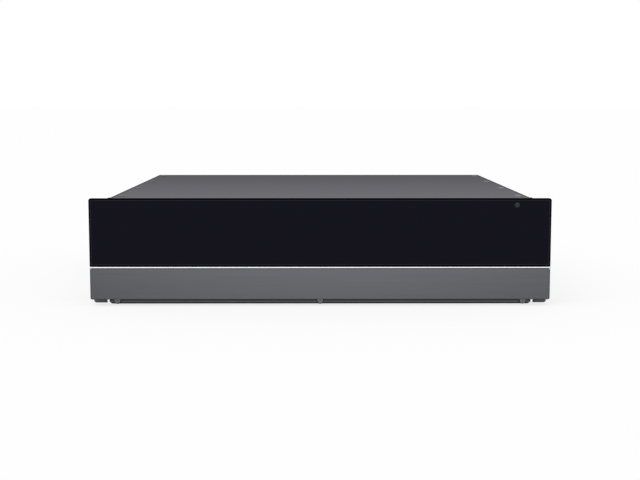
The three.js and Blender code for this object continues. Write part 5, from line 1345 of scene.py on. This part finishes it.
# %% [markdown]
# ## Balls in the runner cages
# Each cage holds two rows of four steel balls. A row's place is given by its distance from the
# runner's outer face and its rise over the runner's middle. The balls are small, so an icosphere of
# two subdivisions is round enough, and all the balls of a cage are one mesh.

# %% Balls in the runner cages
BALL = 2.02 * MM
BALLS = 4
RUNNER_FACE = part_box("runner_outer_right")[1].x
RUNNER_HEIGHT = sum(corner.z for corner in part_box("runner_outer_right")) / 2
ROWS = {"outer": (7.013 * MM, 19.25 * MM), "inner": (9 * MM, 13.45 * MM)}

for kind, (from_face, rise) in ROWS.items():
    for side, sign in (("right", 1), ("left", -1)):
        node = f"runner_{kind}_cage_{side}"
        low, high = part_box(node)
        pitch = (high.y - low.y) / BALLS
        shell = bmesh.new()
        for level in (-rise, rise):
            for index in range(BALLS):
                y = low.y + pitch * (index + 0.5)
                place = Vector((sign * (RUNNER_FACE - from_face), y, RUNNER_HEIGHT + level))
                spot = Matrix.Translation(place)
                bmesh.ops.create_icosphere(shell, subdivisions=2, radius=BALL, matrix=spot)
        balls = as_object(f"{kind}_cage_balls_{side}", shell)
        settled(balls, f"{kind}_cage_{side}", "bright_steel")
print("balls:", len(ROWS) * 2 * 2 * BALLS)

# %% [markdown]
# ## Screws and rivets
# A pan head is spun from a quarter of an ellipse and cut by two crossed blocks, and a rivet is a plain
# low dome. One of each size is made, and its copies are moved to their places. Their recesses are
# turned by steps that don't divide a full turn, so no two heads in a row look the same.


# %% Screws and rivets
HEAD_STEPS = 5
HEAD_ROUNDING = 0.55
HEAD_FLATNESS = 1.6
RECESS_REACH = 0.56
RECESS_WIDTH = 0.12
RECESS_FLOOR = 0.35


def pan_head(radius, height):
    edge = height * HEAD_ROUNDING
    profile = [(0, 0), (radius, 0), (radius, height - edge)]
    for step in range(1, HEAD_STEPS + 1):
        angle = math.pi / 2 * step / HEAD_STEPS
        run = radius - edge * HEAD_FLATNESS * (1 - math.cos(angle))
        profile.append((run, height - edge + edge * math.sin(angle)))
    return turned([*profile, (0, height)], (0, 0, 0), (0, 0, 1), steps=32)


def mesh_of(head):
    mesh = head.data
    bpy.data.objects.remove(head)
    return mesh


def screw_mesh(radius, height):
    head = as_object("screw_head", pan_head(radius, height))
    wide, thin = radius * RECESS_REACH, radius * RECESS_WIDTH
    for x, y in ((wide, thin), (thin, wide)):
        cut_out(head, block((-x, -y, height * RECESS_FLOOR), (x, y, height * 2)))
    return mesh_of(head)


def rivet_mesh(radius, height):
    profile = [(0, 0), *dome(radius, 0, height, HEAD_STEPS)]
    return mesh_of(as_object("rivet_head", turned(profile, (0, 0, 0), (0, 0, 1), steps=24)))


def fastened(name, mesh, place, axis, body, turn=0.0, replaces=(), look="zinc_plate"):
    copy = mesh.copy()
    aim = Vector((0, 0, 1)).rotation_difference(Vector(axis)).to_matrix().to_4x4()
    copy.transform(Matrix.Translation(place) @ aim @ Matrix.Rotation(turn, 4, "Z"))
    head = bpy.data.objects.new(name, copy)
    bpy.context.scene.collection.objects.link(head)
    settled(head, body, "zinc_plate", replaces, look)


# %% [markdown]
# The photograph shows three screws in the base's front lip, which get a dark ring each, painted shade
# round the head, and four raised heads along the cover's right edge. Four more are set along its
# left edge to match.

# %% Screws that the photograph shows
COVER_SCREW_EDGE = 12.5 * MM
COVER_SCREW_FIRST = 41 * MM
COVER_SCREW_PITCH = 146 * MM
COVER_SCREWS = 4
COVER_HEAD = (4.4 * MM, 1.85 * MM)
COVER_TURN = 0.7
BASE_HEAD = 2.2 * MM
BASE_TURN = 0.6
# The dark ring stands for the shade round a head.
SHADE_RING_RADIUS = 5.3 * MM
SHADE_RING_HOLE = 2.2 * MM
SHADE_RING_EDGE = 0.15 * MM
SIDES = {"left": -1, "right": 1}

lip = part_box("housing_base")[0].y
for index, side in enumerate(("left", "middle", "right")):
    low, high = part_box("base_screw_" + side)
    centre = (low + high) / 2
    mesh = screw_mesh((high.x - low.x) / 2, BASE_HEAD)
    place = (centre.x, low.y + BASE_HEAD, centre.z)
    rise = lip - place[1]
    profile = [
        (SHADE_RING_HOLE, 0),
        (SHADE_RING_RADIUS, 0),
        (SHADE_RING_RADIUS, rise - SHADE_RING_EDGE),
        (SHADE_RING_RADIUS - SHADE_RING_EDGE, rise),
        (SHADE_RING_HOLE, rise),
        (SHADE_RING_HOLE, 0),
    ]
    # A dark ring behind each head is painted shade round it.
    painted_shade_ring = turned(profile, (centre.x, lip, centre.z), (0, -1, 0), steps=32)
    ring = as_object(f"base_screw_{side}_washer", painted_shade_ring)
    settled(ring, "housing", "black_plastic")
    name = f"base_screw_{side}_head"
    node = "base_screw_" + side
    fastened(name, mesh, place, (0, -1, 0), "housing", BASE_TURN * index, [node], "dark_zinc")

cover_mesh = screw_mesh(*COVER_HEAD)
for side, sign in SIDES.items():
    for index in range(COVER_SCREWS):
        x = sign * (cover_high.x - COVER_SCREW_EDGE)
        y = cover_low.y + COVER_SCREW_FIRST + index * COVER_SCREW_PITCH
        name = f"cover_screw_{side}_{index + 1}"
        place = (x, y, cover_high.z)
        turn = COVER_TURN * index + sign
        fastened(name, cover_mesh, place, (0, 0, 1), "housing", turn, look="coated_screw")
print("screws in the photograph:", 3 + 2 * COVER_SCREWS)

# %% [markdown]
# The other fasteners are where such a drawer has them: screws in the back panel, the brackets and
# the fascia, and rivets at the outer runners, the inner front panel and the grille. A height is
# over the base's underside, and an inset is the distance from the edge of what the head sits on.

# %% Other fasteners
BACK_SCREW_INSET = 8 * MM
BACK_SCREW_HEIGHTS = (20 * MM, 68 * MM, 118 * MM)
BACK_TURN = 0.8
RUNNER_RIVETS = (-205 * MM, -30 * MM, 145 * MM)
FRONT_RIVET_INSET = 10.9 * MM
FRONT_RIVET_HEIGHTS = (22 * MM, 126 * MM)
BRACKET_SHEET = 1.2 * MM
BRACKET_SCREW_ASIDE = 12.5 * MM
BRACKET_SCREW_RISE = 19.8 * MM
BRACKET_TURN = 0.4
GRILLE_RIVET_INSET = 2.6 * MM
FASCIA_SCREW_INSET = 3.8 * MM
FASCIA_TURN = 0.3

small = screw_mesh(3.2 * MM, 1.5 * MM)
tiny = screw_mesh(2.3 * MM, 0.9 * MM)
wide_head = screw_mesh(4 * MM, 1.8 * MM)
rivet = rivet_mesh(3.4 * MM, 1.1 * MM)
little_rivet = rivet_mesh(2 * MM, 0.7 * MM)
side_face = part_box("housing_top")[1].x
inner_edge, inner_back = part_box("inner_front_panel")[1].xy
fascia_low, fascia_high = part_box("control_fascia")

for side, sign in SIDES.items():
    for index, z in enumerate(BACK_SCREW_HEIGHTS):
        place = (sign * (side_face - BACK_SCREW_INSET), back_face, z)
        fastened(f"back_screw_{side}_{index + 1}", small, place, (0, 1, 0), "housing", index * BACK_TURN)
    for index, y in enumerate(RUNNER_RIVETS):
        place = (sign * side_face, y, RUNNER_HEIGHT)
        fastened(f"runner_rivet_{side}_{index + 1}", rivet, place, (sign, 0, 0), "housing")
    bracket_low, bracket_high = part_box("front_bracket_" + side)
    bracket = (bracket_low + bracket_high) / 2
    for index, rise in enumerate((-BRACKET_SCREW_RISE, BRACKET_SCREW_RISE)):
        x = bracket.x - sign * BRACKET_SCREW_ASIDE
        place = (x, bracket_low.y + BRACKET_SHEET, bracket.z + rise)
        name = f"bracket_screw_{side}_{index + 1}"
        fastened(name, wide_head, place, (0, 1, 0), "drawer", BRACKET_TURN + index)
    for index, z in enumerate(FRONT_RIVET_HEIGHTS):
        place = (sign * (inner_edge - FRONT_RIVET_INSET), inner_back, z)
        fastened(f"front_rivet_{side}_{index + 1}", little_rivet, place, (0, 1, 0), "drawer")
    for index, z in enumerate((grille_low.z + GRILLE_RIVET_INSET, grille_high.z - GRILLE_RIVET_INSET)):
        place = (sign * (grille_high.x - GRILLE_RIVET_INSET), grille_low.y, z)
        fastened(f"grille_rivet_{side}_{index + 1}", little_rivet, place, (0, -1, 0), "drawer")
for index, x in enumerate((fascia_low.x + FASCIA_SCREW_INSET, fascia_high.x - FASCIA_SCREW_INSET)):
    place = (x, knob_centre.y, fascia_high.z)
    fastened(f"fascia_screw_{index + 1}", tiny, place, (0, 0, 1), "drawer", FASCIA_TURN + index)

# %% [markdown]
# ## Sizes of the dressed object
# Both boxes, of the imported solids and of the dressed object, are printed side by side.

# %% Write both boxes and finish
visual_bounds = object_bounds()
boxes = {"cad": cad_bounds, "visual": visual_bounds}
for name, box in boxes.items():
    print(name, [[round(value, 4) for value in corner] for corner in box])
